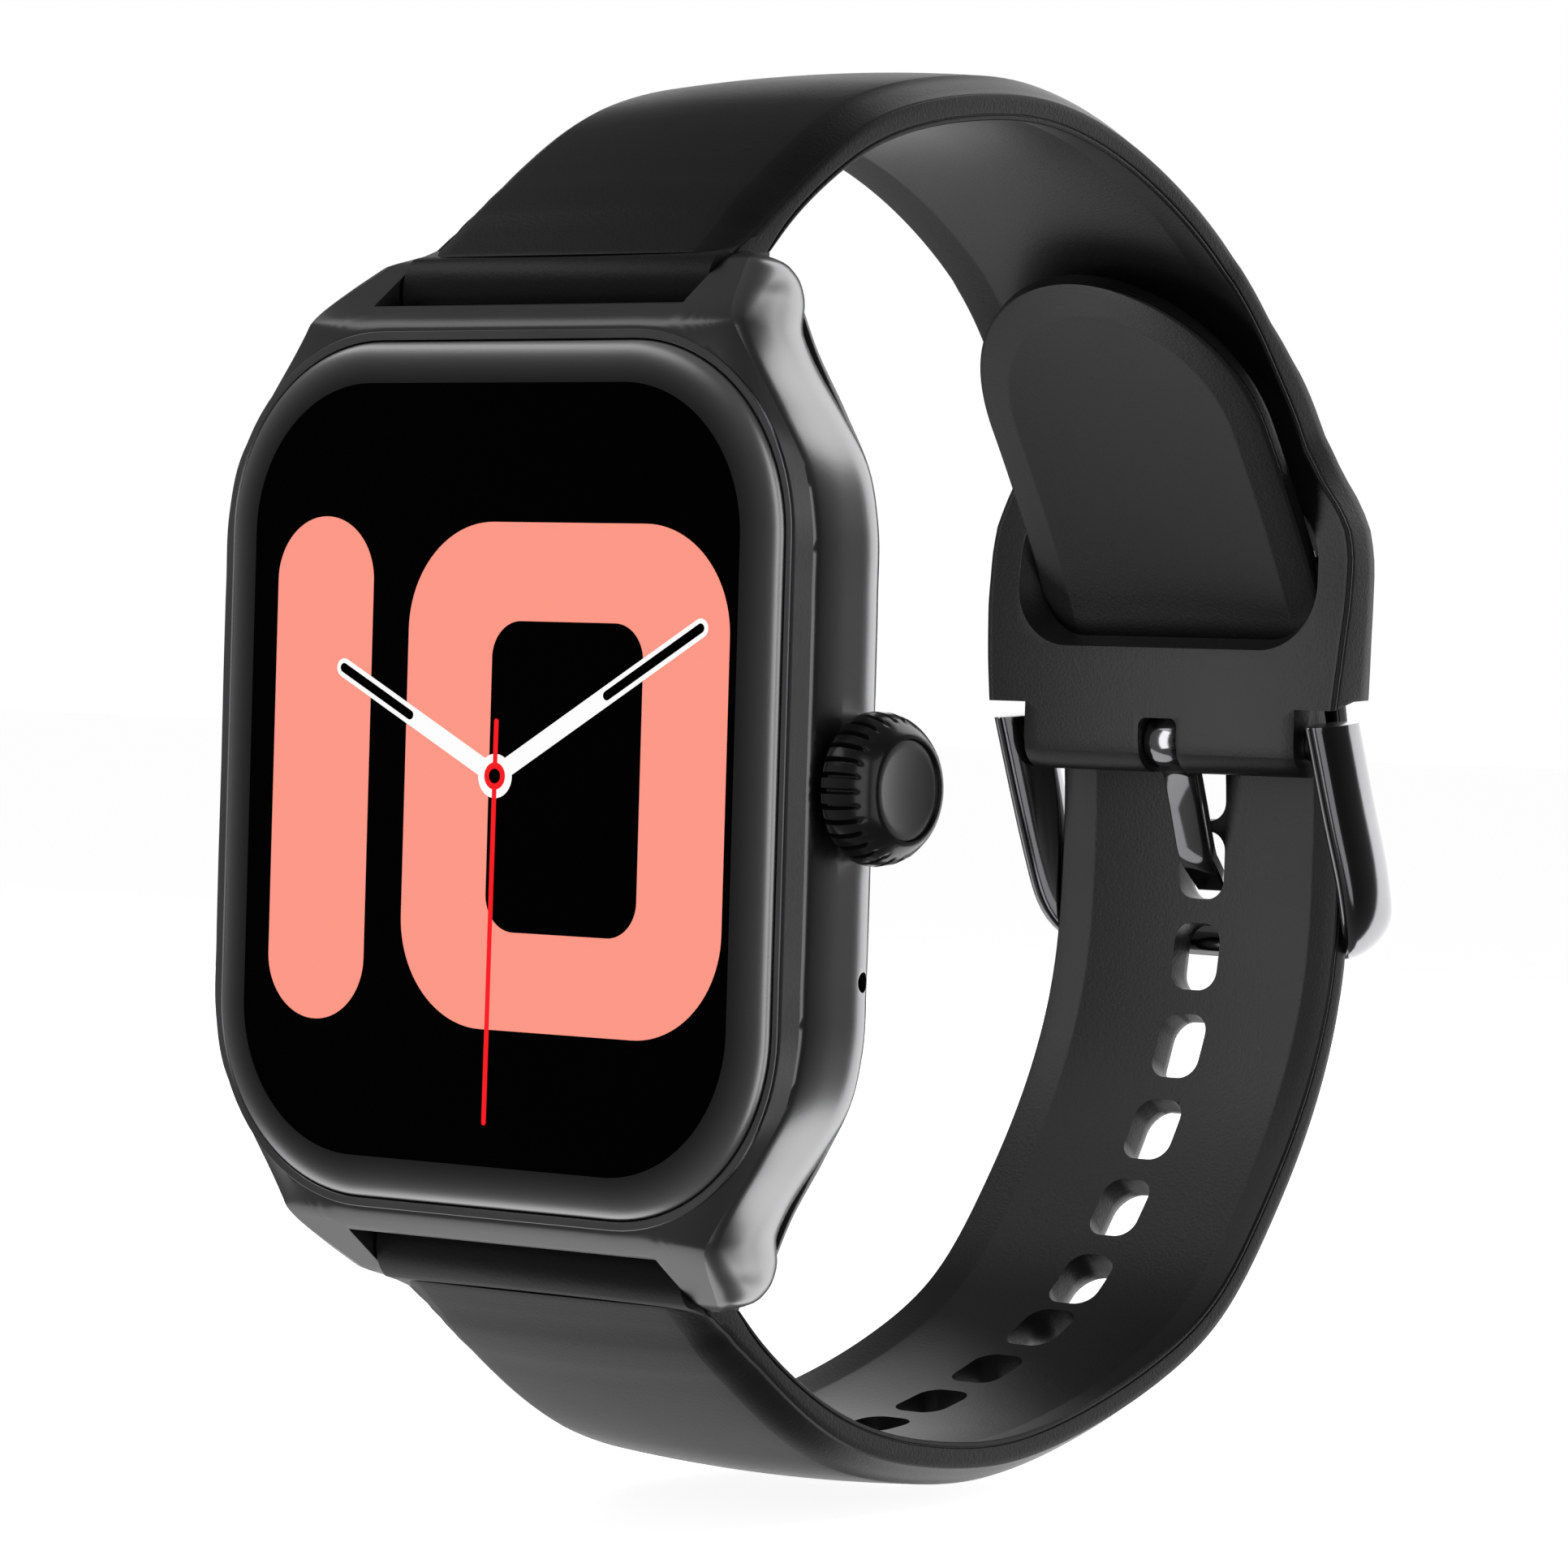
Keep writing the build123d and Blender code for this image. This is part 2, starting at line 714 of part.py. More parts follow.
upper_stations = 18
with BuildPart() as upper_strap:
    for step in range(upper_stations + 1):
        share = step / upper_stations
        spot = upper_path.line @ share
        heading = upper_path.line % share
        on_back = smooth(share, 0.5, 0.6)
        flare = on_back * (1 - smooth(spot.Z, 14.0, 21.5))
        half_w = strap_w0 - 0.75 * smooth(share, 0.05, 0.45) + 3.35 * flare
        half_w -= on_back * 0.6 * (1 - smooth(spot.Z, 4.4, 9.0))
        wall = strap_wall + on_back * 2.3 * (1 - smooth(spot.Z, 3.0, 17.5))
        with BuildSketch(Plane(spot, x_dir=(1, 0, 0), z_dir=-heading)):
            add(strap_section(half_w, wall, strap_bevel_h * (1 - 0.3 * flare), strap_crown))
    loft()
    with BuildSketch(across(0)):
        add(strap_root(1))
    extrude(amount=strap_w0, both=True)
    strap_bar_holes(1)
    # The window that the tail comes in through, with sloping edges on the wrist side.
    with BuildSketch(facing(50.0)):
        with Locations((0, 13.5)):
            RectangleRounded(2 * 10.7, 10.2, 3.4)
    extrude(amount=-12, mode=Mode.SUBTRACT)
    with BuildSketch(facing(52.0)):
        with Locations((0, 13.45)):
            RectangleRounded(2 * 11.7, 12.9, 4.4)
    extrude(amount=-2.3, taper=32, mode=Mode.SUBTRACT)
    # The end that holds the buckle's bar.
    with BuildSketch(across(0)):
        with Locations((buckle_y, buckle_z)):
            Circle(housing_r)
        with BuildLine():
            Polyline(
                (52.65, 2.4),
                (52.55, 5.4),
                (55.6, 5.4),
                (56.55, 2.4),
                close=True,
            )
        make_face()
    extrude(amount=housing_half_w, both=True)
    # The saddle on the outside, where the other half of the strap passes.
    with BuildSketch(across(0)):
        with BuildLine():
            Polyline(
                (56.55, 2.6),
                (54.6, 8.6),
                (54.6, 20),
                (64.0, 20),
                (64.0, 2.6),
                close=True,
            )
        make_face()
    extrude(amount=10.7, both=True, mode=Mode.SUBTRACT)
    # Room beside that end for the buckle's arms to turn.
    for side_x in (-1, 1):
        with Locations((side_x * (housing_half_w + 2.2), buckle_y, buckle_z)):
            Cylinder(arm_swing_r, 4.0, rotation=(0, 90, 0), mode=Mode.SUBTRACT)
    # The bar's tunnel and the slot for the tongue.
    with Locations((0, buckle_y, buckle_z)):
        Cylinder(buckle_bore_r, 40, rotation=(0, 90, 0), mode=Mode.SUBTRACT)
    with BuildSketch(facing(51.0)):
        with Locations((0, 1.2)):
            RectangleRounded(2.9, 6.0, 0.5)
    extrude(amount=-8, mode=Mode.SUBTRACT)
finish(upper_strap, "upper_strap")

with BuildLine() as lower_path:
    Spline(
        (0, -1.0, -28.75),
        (0, 4.2, -33.0),
        (0, 9.6, -35.5),
        (0, 17.5, -37.3),
        (0, 25.5, -37.55),
        (0, 32.4, -36.6),
        (0, 39.3, -34.05),
        (0, 45.2, -30.9),
        (0, 49.7, -26.1),
        (0, 53.0, -21.4),
        (0, 55.5, -16.5),
        (0, 56.95, -11.5),
        (0, 57.4, -5.5),
        (0, 57.3, 0.0),
        (0, 56.45, 5.0),
        (0, 54.1, 11.1),
        (0, 50.1, 18.0),
        (0, 47.2, 22.3),
        (0, 41.3, 29.6),
    )

lower_stations = 30
with BuildPart() as lower_strap:
    for step in range(lower_stations + 1):
        share = step / lower_stations
        spot = lower_path.line @ share
        heading = lower_path.line % share
        thin = smooth(share, 0.50, 0.68)
        half_w = strap_w0 - 0.6 * smooth(share, 0.04, 0.3) - 0.15 * thin
        with BuildSketch(Plane(spot, x_dir=(1, 0, 0), z_dir=heading)):
            add(
                strap_section(
                    half_w,
                    strap_wall - 0.2 * thin,
                    strap_bevel_h - 0.35 * thin,
                    strap_crown - 0.3 * thin,
                )
            )
    loft()
    with BuildSketch(across(0)):
        add(strap_root(-1))
    extrude(amount=strap_w0, both=True)
    strap_bar_holes(-1)
    # The ladder of adjusting holes.
    length = lower_path.edges()[0].length
    shares = [step / 2000 for step in range(2000)]
    spots = [(share, lower_path.line @ share) for share in shares]
    first = min(share for share, spot in spots if spot.Y > 57.0 and spot.Z > hole_start_z)
    for step in range(hole_count):
        share = first + (1 - step) * hole_pitch / length
        spot = lower_path.line @ share
        heading = lower_path.line % share
        outward = Vector(0, -heading.Z, heading.Y) * -1
        with BuildSketch(Plane(spot, x_dir=(1, 0, 0), z_dir=outward)):
            RectangleRounded(hole_w, hole_h, hole_r)
        extrude(amount=4, both=True, mode=Mode.SUBTRACT)
    # The rounded tip of the tail.
    tip_spot = lower_path.line @ 1.0
    tip_heading = lower_path.line % 1.0
    tip_normal = Vector(0, -tip_heading.Z, tip_heading.Y)
    with BuildSketch(Plane(tip_spot, x_dir=(1, 0, 0), z_dir=tip_normal)):
        with Locations((0, 2 - tip_length / 2)):
            Rectangle(40, tip_length + 4)
        with Locations((0, -tip_length)):
            Ellipse(strap_w1 + 0.05, tip_length, mode=Mode.SUBTRACT)
    extrude(amount=6, both=True, mode=Mode.SUBTRACT)
finish(lower_strap, "lower_strap")

# ---------------------------------------------------------------- buckle
with BuildPart() as buckle_bar:
    with Locations((0, buckle_y, buckle_z)):
        Cylinder(buckle_bar_r, 2 * buckle_bar_half, rotation=(0, 90, 0))
finish(buckle_bar, "buckle_bar")

with BuildPart() as buckle_frame:
    with BuildSketch(Plane.XZ.offset(-buckle_y)):
        with Locations((0, -3.55)):
            RectangleRounded(2 * arm_outer, 15.1, 3.5)
            with Locations((0, 1.9)):
                RectangleRounded(2 * arm_inner, 14.1, 1.8, mode=Mode.SUBTRACT)
    extrude(amount=10, both=True)
    with BuildSketch(across(0)):
        with BuildLine():
            Polyline(
                (52.0, 3.45),
                (56.65, 3.9),
                (59.5, -2.8),
                (61.3, -6.9),
                (63.2, -8.9),
                (63.3, -9.9),
                (62.4, -10.9),
                (60.6, -10.9),
                (60.1, -10.5),
                (59.95, -8.75),
                (58.0, -7.6),
                (55.3, -4.8),
                close=True,
            )
        make_face()
    extrude(amount=20, both=True, mode=Mode.INTERSECT)
    with Locations((0, buckle_y, buckle_z)):
        Cylinder(
            buckle_bore_r, 2 * buckle_bar_half + 0.1, rotation=(0, 90, 0), mode=Mode.SUBTRACT
        )
finish(buckle_frame, "buckle_frame")

with BuildPart() as tongue:
    with BuildSketch(across(0)):
        with Locations((buckle_y, buckle_z)):
            Circle(1.65)
        with BuildLine():
            Polyline((55.35, 1.15), (57.15, -4.35), (59.2, -6.65))
        trace(line_width=0.75)
        with Locations((buckle_y, buckle_z)):
            Circle(buckle_bore_r, mode=Mode.SUBTRACT)
    extrude(amount=1.25, both=True)
finish(tongue, "tongue")
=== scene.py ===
"""Looks for a buckled square smartwatch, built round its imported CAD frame.

Lengths are in millimetres, and MM turns them into the metres that Blender works in.
"""
import math

import bmesh
import bpy
import numpy as np
from mathutils import Matrix, Vector


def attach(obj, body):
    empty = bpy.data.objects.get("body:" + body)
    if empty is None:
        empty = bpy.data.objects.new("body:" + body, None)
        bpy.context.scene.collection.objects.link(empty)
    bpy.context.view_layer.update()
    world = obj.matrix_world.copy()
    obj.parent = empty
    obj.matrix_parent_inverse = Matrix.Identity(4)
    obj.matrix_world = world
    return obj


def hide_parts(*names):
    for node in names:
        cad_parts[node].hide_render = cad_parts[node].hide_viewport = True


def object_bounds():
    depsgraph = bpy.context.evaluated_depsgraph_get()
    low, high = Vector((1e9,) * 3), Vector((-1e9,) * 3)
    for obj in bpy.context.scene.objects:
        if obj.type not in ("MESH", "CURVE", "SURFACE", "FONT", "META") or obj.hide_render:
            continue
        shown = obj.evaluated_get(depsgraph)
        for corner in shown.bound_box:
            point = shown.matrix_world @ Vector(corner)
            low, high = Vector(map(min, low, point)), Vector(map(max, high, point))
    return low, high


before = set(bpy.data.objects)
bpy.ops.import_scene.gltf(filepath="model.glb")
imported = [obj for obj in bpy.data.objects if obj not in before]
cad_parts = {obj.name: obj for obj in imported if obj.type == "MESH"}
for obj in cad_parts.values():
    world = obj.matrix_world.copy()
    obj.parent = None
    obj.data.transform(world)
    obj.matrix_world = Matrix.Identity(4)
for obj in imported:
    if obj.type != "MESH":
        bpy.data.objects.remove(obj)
cad_low, cad_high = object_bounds()

MM = 0.001
# The depths of the case's front face and of the metal's rear edge.
FRONT_Y = -10.0
REAR_Y = -3.2
# The spring bars, the gap between the lugs, the buckle's bar and the crown's axis.
BAR_Y = -4.0
BAR_Z = 26.55
LUG_GAP = 22.0
BUCKLE_Y = 54.6
BUCKLE_Z = 2.4
CROWN_Y = -5.15


# ---------------------------------------------------------------- small helpers
def ease(value, low, high):
    """0 at low, 1 at high, level at both ends."""
    t = min(max((value - low) / (high - low), 0.0), 1.0)
    return t * t * (3 - 2 * t)


def spline(points, count):
    """A natural cubic spline through points, as count points evenly spaced along it, and their directions."""
    p = np.array(points, float)
    t = np.concatenate([[0], np.cumsum(np.linalg.norm(np.diff(p, axis=0), axis=1))])
    n = len(t)
    h = np.diff(t)
    a = np.eye(n)
    b = np.zeros_like(p)
    for i in range(1, n - 1):
        a[i, i - 1 : i + 2] = h[i - 1], 2 * (h[i - 1] + h[i]), h[i]
        b[i] = 6 * ((p[i + 1] - p[i]) / h[i] - (p[i] - p[i - 1]) / h[i - 1])
    m = np.linalg.solve(a, b)

    def at(u):
        i = np.clip(np.searchsorted(t, u, side="right") - 1, 0, n - 2)
        x, w = (u - t[i])[:, None], h[i][:, None]
        s = w - x
        return (
            m[i] * s**3 / (6 * w)
            + m[i + 1] * x**3 / (6 * w)
            + (p[i] / w - m[i] * w / 6) * s
            + (p[i + 1] / w - m[i + 1] * w / 6) * x
        )

    fine = at(np.linspace(0, t[-1], 4000))
    run = np.concatenate([[0], np.cumsum(np.linalg.norm(np.diff(fine, axis=0), axis=1))])
    spots = np.linspace(0, run[-1], count)
    out = np.stack([np.interp(spots, run, fine[:, k]) for k in range(p.shape[1])], 1)
    heading = np.gradient(out, axis=0)
    heading /= np.linalg.norm(heading, axis=1)[:, None]
    return out, heading, spots


def rounded_rect(half_w, half_h, radius, steps=20):
    """The (x, z) outline of a rounded rectangle."""
    points = []
    for side_x, side_z, start in ((1, 1, 0), (-1, 1, 90), (-1, -1, 180), (1, -1, 270)):
        for i in range(steps + 1):
            a = math.radians(start + 90 * i / steps)
            x = side_x * (half_w - radius) + radius * math.cos(a)
            points.append((x, side_z * (half_h - radius) + radius * math.sin(a)))
    return points


def tidy(obj, angle):
    """Joins doubled points, faces the normals outwards and shades smooth except at corners over angle."""
    bm = bmesh.new()
    bm.from_mesh(obj.data)
    bmesh.ops.remove_doubles(bm, verts=bm.verts, dist=1e-6)
    bmesh.ops.recalc_face_normals(bm, faces=bm.faces)
    limit = math.radians(angle)
    for face in bm.faces:
        face.smooth = True
    for edge in bm.edges:
        edge.smooth = len(edge.link_faces) == 2 and edge.calc_face_angle(0) < limit
    bm.to_mesh(obj.data)
    bm.free()


def solid(name, vertices, faces):
    """A mesh object from points in millimetres."""
    mesh = bpy.data.meshes.new(name)
    mesh.from_pydata([Vector(v) * MM for v in vertices], [], faces)
    obj = bpy.data.objects.new(name, mesh)
    bpy.context.scene.collection.objects.link(obj)
    tidy(obj, 35)
    return obj


def stack(name, rings, closed=False):
    """Joins closed rings with the same number of points into a skin, with a flat end at each side."""
    count = len(rings[0])
    vertices = [v for ring in rings for v in ring]
    faces = []
    total = len(rings)
    for r in range(total if closed else total - 1):
        a, b = r * count, ((r + 1) % total) * count
        for i in range(count):
            j = (i + 1) % count
            faces.append((a + i, a + j, b + j, b + i))
    if not closed:
        faces.append(tuple(range(count)))
        faces.append(tuple((total - 1) * count + i for i in range(count)))
    return solid(name, vertices, faces)


def plate(name, steps):
    """A stack of (y, outline) levels along Y, each outline a list of (x, z)."""
    return stack(name, [[(x, y, z) for x, z in outline] for y, outline in steps])


def prism(name, outline, half):
    """A (y, z) outline drawn out along X from -half to half."""
    return stack(name, [[(x, y, z) for y, z in outline] for x in (-half, half)])


def disc(radius, centre=(0, 0), steps=48):
    turn = [2 * math.pi * i / steps for i in range(steps)]
    return [(centre[0] + radius * math.cos(a), centre[1] + radius * math.sin(a)) for a in turn]


def lathe(name, profile, centre, steps=96):
    """Turns an (x, radius) profile about the X line through centre (y, z); it starts and ends on the axis."""
    rings = []
    for x, radius in profile:
        ring = []
        for i in range(steps):
            a = 2 * math.pi * i / steps
            r = max(radius, 1e-4)
            ring.append((x, centre[0] + r * math.cos(a), centre[1] + r * math.sin(a)))
        rings.append(ring)
    return stack(name, rings)


def bake_modifiers(obj):
    """Applies obj's modifiers to its mesh."""
    graph = bpy.context.evaluated_depsgraph_get()
    mesh = bpy.data.meshes.new_from_object(obj.evaluated_get(graph))
    obj.modifiers.clear()
    obj.data = mesh
    return obj


def combine(obj, tool, operation):
    """Cuts, joins or intersects obj with tool, which is used up."""
    modifier = obj.modifiers.new("combine", "BOOLEAN")
    modifier.operation = operation
    modifier.solver = "EXACT"
    modifier.object = tool
    bake_modifiers(obj)
    bpy.data.objects.remove(tool)
    return obj


def soften(obj, width, angle=32, segments=3):
    """Rounds the edges sharper than angle."""
    modifier = obj.modifiers.new("soften", "BEVEL")
    modifier.width = width * MM
    modifier.segments = segments
    modifier.limit_method = "ANGLE"
    modifier.angle_limit = math.radians(angle)
    modifier.harden_normals = False
    bake_modifiers(obj)
    tidy(obj, 38)
    return obj


def join(name, objects):
    """Makes one object of several, without cutting them."""
    bm = bmesh.new()
    for obj in objects:
        bm.from_mesh(obj.data)
        bpy.data.objects.remove(obj)
    mesh = bpy.data.meshes.new(name)
    bm.to_mesh(mesh)
    bm.free()
    joined = bpy.data.objects.new(name, mesh)
    bpy.context.scene.collection.objects.link(joined)
    return joined


def wear(obj, body, material, replaces=()):
    """Gives obj its material, and fixes it to its body."""
    if not isinstance(material, (list, tuple)):
        material = [material]
    picks = [face.material_index for face in obj.data.polygons]
    obj.data.materials.clear()
    for m in material:
        obj.data.materials.append(m)
    obj.data.polygons.foreach_set("material_index", picks)
    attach(obj, body)
    if replaces:
        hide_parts(*replaces)
    return obj


# ---------------------------------------------------------------- materials
def material(
    name,
    colour,
    roughness,
    metallic=0.0,
    grain=0.0,
    grain_scale=4000.0,
    patch=0.0,
    coat=0.0,
    stretch=(1, 1, 1),
    specular=0.5,
    tint=0.15,
):
    """A finish with fine grain in its bump, and slow patches in its roughness and colour."""
    made = bpy.data.materials.new(name)
    made.use_nodes = True
    nodes, links = made.node_tree.nodes, made.node_tree.links
    shader = nodes["Principled BSDF"]
    shader.inputs["Metallic"].default_value = metallic
    shader.inputs["Coat Weight"].default_value = coat
    shader.inputs["Coat Roughness"].default_value = 0.03
    shader.inputs["Specular IOR Level"].default_value = specular
    place = nodes.new("ShaderNodeTexCoord")
    mapping = nodes.new("ShaderNodeMapping")
    mapping.inputs["Scale"].default_value = stretch
    links.new(place.outputs["Object"], mapping.inputs["Vector"])
    slow = nodes.new("ShaderNodeTexNoise")
    slow.inputs["Scale"].default_value = 90.0
    slow.inputs["Detail"].default_value = 5.0
    links.new(mapping.outputs["Vector"], slow.inputs["Vector"])
    rough = nodes.new("ShaderNodeMapRange")
    rough.inputs["To Min"].default_value = max(roughness - patch, 0.01)
    rough.inputs["To Max"].default_value = min(roughness + patch, 1.0)
    links.new(slow.outputs["Fac"], rough.inputs["Value"])
    links.new(rough.outputs["Result"], shader.inputs["Roughness"])
    ramp = nodes.new("ShaderNodeValToRGB")
    ramp.color_ramp.elements[0].position = 0.3
    ramp.color_ramp.elements[1].position = 0.7
    ramp.color_ramp.elements[0].color = (*[c * (1 - tint) for c in colour], 1)
    ramp.color_ramp.elements[1].color = (*[min(c * (1 + tint), 1) for c in colour], 1)
    links.new(slow.outputs["Fac"], ramp.inputs["Fac"])
    links.new(ramp.outputs["Color"], shader.inputs["Base Color"])
    if grain:
        fine = nodes.new("ShaderNodeTexNoise")
        fine.inputs["Scale"].default_value = grain_scale
        fine.inputs["Detail"].default_value = 3.0
        links.new(mapping.outputs["Vector"], fine.inputs["Vector"])
        bump = nodes.new("ShaderNodeBump")
        bump.inputs["Strength"].default_value = grain
        bump.inputs["Distance"].default_value = 0.00003
        links.new(fine.outputs["Fac"], bump.inputs["Height"])
        links.new(bump.outputs["Normal"], shader.inputs["Normal"])
    return made


def screen_colour(name, colour, strength):
    """A lit part of the screen, with its fine grid of cells."""
    made = bpy.data.materials.new(name)
    made.use_nodes = True
    nodes, links = made.node_tree.nodes, made.node_tree.links
    shader = nodes["Principled BSDF"]
    shader.inputs["Roughness"].default_value = 0.35
    shader.inputs["Specular IOR Level"].default_value = 0.0
    shader.inputs["Emission Strength"].default_value = strength
    place = nodes.new("ShaderNodeTexCoord")
    cells = nodes.new("ShaderNodeTexVoronoi")
    cells.inputs["Scale"].default_value = 9000.0
    cells.inputs["Randomness"].default_value = 0.0
    ramp = nodes.new("ShaderNodeValToRGB")
    ramp.color_ramp.elements[0].color = (*colour, 1)
    ramp.color_ramp.elements[1].color = (*[c * 0.96 for c in colour], 1)
    links.new(place.outputs["Object"], cells.inputs["Vector"])
    links.new(cells.outputs["Distance"], ramp.inputs["Fac"])
    links.new(ramp.outputs["Color"], shader.inputs["Emission Color"])
    shader.inputs["Base Color"].default_value = (0, 0, 0, 1)
    return made


def fade_across(made, axis, start, end, first, last):
    """Replaces a material's colour with a blend along one axis of the object, from start to end in metres."""
    nodes, links = made.node_tree.nodes, made.node_tree.links
    place = nodes.new("ShaderNodeTexCoord")
    split = nodes.new("ShaderNodeSeparateXYZ")
    reach = nodes.new("ShaderNodeMapRange")
    reach.inputs["From Min"].default_value = start
    reach.inputs["From Max"].default_value = end
    ramp = nodes.new("ShaderNodeValToRGB")
    ramp.color_ramp.elements[0].color = (*first, 1)
    ramp.color_ramp.elements[1].color = (*last, 1)
    links.new(place.outputs["Object"], split.inputs["Vector"])
    links.new(split.outputs[axis], reach.inputs["Value"])
    links.new(reach.outputs["Result"], ramp.inputs["Fac"])
    links.new(ramp.outputs["Color"], nodes["Principled BSDF"].inputs["Base Color"])


silicone = material("silicone", (0.010, 0.010, 0.0105), 0.4, grain=0.5, grain_scale=5200, patch=0.05)
satin_metal = material(
    "satin_metal", (0.2, 0.2, 0.203), 0.3, metallic=1.0, grain=0.12, grain_scale=7000, patch=0.03, tint=0.05
)
gloss_metal = material(
    "gloss_metal", (0.34, 0.34, 0.345), 0.26, metallic=1.0, grain=0.04, patch=0.02, tint=0.05
)
ring_metal = material("ring_metal", (0.32, 0.32, 0.33), 0.3, metallic=1.0, grain=0.05, patch=0.05)
glass_black = material("glass_black", (0.001, 0.001, 0.001), 0.08, patch=0.01, specular=0.03)
glass_rim_painted_reflection = material("glass_rim_painted_reflection", (1, 1, 1), 0.33, metallic=1.0, patch=0.02)
# The rim of the glass lightens towards its outer edge, along the depth of the case: a painted reflection,
# standing in for the bright band of light on the rolled edge.
fade_across(glass_rim_painted_reflection, 1, -0.01083, -0.0099, (0.1, 0.1, 0.102), (0.95, 0.95, 0.96))
sensor_black = material("sensor_black", (0.004, 0.004, 0.004), 0.06, patch=0.01, coat=0.3)
back_black = material("back_black", (0.012, 0.012, 0.013), 0.2, grain=0.04, patch=0.06, coat=0.4)
dark_chrome = material("dark_chrome", (0.33, 0.33, 0.34), 0.12, metallic=1.0, grain=0.03, patch=0.04)
cut_steel = material("cut_steel", (0.55, 0.55, 0.56), 0.3, metallic=1.0, grain=0.1, patch=0.05)
crown_metal = material(
    "crown_metal", (0.075, 0.075, 0.077), 0.24, metallic=0.8, grain=0.05, patch=0.05, coat=0.2
)
crown_polish = material("crown_polish", (0.3, 0.3, 0.3), 0.28, metallic=1.0, patch=0.03, tint=0.05)
steel = material("steel", (0.5, 0.5, 0.51), 0.28, metallic=1.0, grain=0.05, patch=0.06, stretch=(0.2, 1, 1))
gold = material("gold", (0.75, 0.48, 0.17), 0.25, metallic=1.0, grain=0.03, patch=0.05)
tinned = material("tinned", (0.45, 0.45, 0.46), 0.35, metallic=1.0, grain=0.1, patch=0.08)
alloy = material("alloy", (0.42, 0.43, 0.45), 0.4, metallic=0.9, grain=0.2, patch=0.08)
black_plastic = material("black_plastic", (0.02, 0.02, 0.02), 0.5, grain=0.2, patch=0.08)
seal_rubber = material("seal_rubber", (0.012, 0.012, 0.012), 0.6, grain=0.3, patch=0.05)
board_green = material("board_green", (0.01, 0.07, 0.035), 0.35, grain=0.1, patch=0.08, tint=0.3)
cell_wrap = material("cell_wrap", (0.05, 0.05, 0.055), 0.4, grain=0.2, patch=0.1)
emitter = material("emitter", (0.05, 0.45, 0.12), 0.3, patch=0.05)
silicon = material("silicon", (0.015, 0.015, 0.03), 0.15, patch=0.05)

NODE_MATERIALS = {
    "display_gasket": seal_rubber,
    "display_panel": black_plastic,
    "chassis_plate": alloy,
    "battery": cell_wrap,
    "main_board": board_green,
    "board_shield": tinned,
    "vibration_motor": tinned,
    "speaker": tinned,
    "microphone": tinned,
    "back_gasket": seal_rubber,
    "case_screws": cut_steel,
    "sensor_board": board_green,
    "sensor_leds": emitter,
    "photodiodes": silicon,
    "charging_contacts": gold,
    "crown_stem": steel,
    "crown_seals": seal_rubber,
    "crown_tube": steel,
    "crown_carriage": black_plastic,
    "crown_guide": black_plastic,
    "crown_switch": black_plastic,
    "upper_bar_tube": steel,
    "lower_bar_tube": steel,
    "upper_bar_pin": steel,
    "lower_bar_pin": steel,
    "buckle_bar": steel,
}
for node, finish in NODE_MATERIALS.items():
    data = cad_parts[node].data
    data.materials.clear()
    data.materials.append(finish)


# ---------------------------------------------------------------- case
# Half widths of the case at a few heights, at its front edge and at the fullest part of its side. It is
# straight beside the glass and draws in at the corners, and on the lugs its side swells out past its edge.
SIDE_Z = (0.0, 10.0, 14.0, 17.0, 20.0, 23.0, 26.0, 27.5, 28.2, 28.56)
EDGE_X = (20.86, 20.86, 20.76, 20.05, 18.15, 16.0, 14.05, 13.05, 12.5, 11.8)
FULL_X = (21.1, 21.1, 20.98, 20.25, 18.45, 16.45, 15.0, 14.2, 13.45, 12.3)
# The lugs' front slopes back from this height, by so much for each millimetre up.
SLOPE_START = 24.45
SLOPE = 1.33
# How far the front sinks from the bezel ring to the case's edge.
FRONT_FALL = 0.73
LUG_TOP = 28.58
# The glass seat: its half width and half height, and its corner.
SEAT = (20.0, 24.08, 11.0)


def smooth_through(at, knots, values):
    """A smooth curve through a few values."""
    slopes = np.gradient(np.array(values), np.array(knots))
    slopes[0] = 0.0
    i = min(int(np.searchsorted(knots, at, side="right")) - 1, len(knots) - 2)
    run = knots[i + 1] - knots[i]
    t = (at - knots[i]) / run
    start, end = values[i], values[i + 1]
    lift = (1 - t) * slopes[i] * run * t * (1 - t) - t * slopes[i + 1] * run * t * (1 - t)
    return float(start + (end - start) * t * t * (3 - 2 * t) + lift)


def side_heights():
    """Heights along a quarter of the case's outline, close together where it curves."""
    side, lug = np.arange(9.0, 24.0, 0.5), np.arange(24.0, 28.3, 0.2)
    return np.concatenate([[0.0, 5.0], side, lug, [28.35, 28.45, 28.52, 28.56]])


def outline_of(widths, inset=0.0, lug_inset=None):
    """The case's outline as (x, z), with room between lugs still filled, from half widths at SIDE_Z."""
    quarter = []
    for z in side_heights():
        e = inset if lug_inset is None else inset + (lug_inset - inset) * ease(z, 17.0, 23.0)
        quarter.append((smooth_through(z, SIDE_Z, widths) - e, float(z)))
    quarter += [(x, LUG_TOP) for x in (11.4, 9.0, 6.0, 3.0)]
    loop = list(quarter)
    loop.append((0.0, LUG_TOP))
    loop += [(-x, z) for x, z in reversed(quarter)]
    loop += [(-x, -z) for x, z in quarter[1:]]
    loop.append((0.0, -LUG_TOP))
    loop += [(x, -z) for x, z in reversed(quarter[1:])]
    return loop


def on_ring(point):
    """The place nearest a point just inside the bezel ring's outer edge, where its seat trims the metal."""
    x, z = point
    half_w, half_h = SEAT[0] - SEAT[2], SEAT[1] - SEAT[2]
    cx = min(max(x, -half_w), half_w)
    cz = min(max(z, -half_h), half_h)
    run = math.hypot(x - cx, z - cz)
    reach = SEAT[2] - 0.3
    return cx + reach * (x - cx) / run, cz + reach * (z - cz) / run


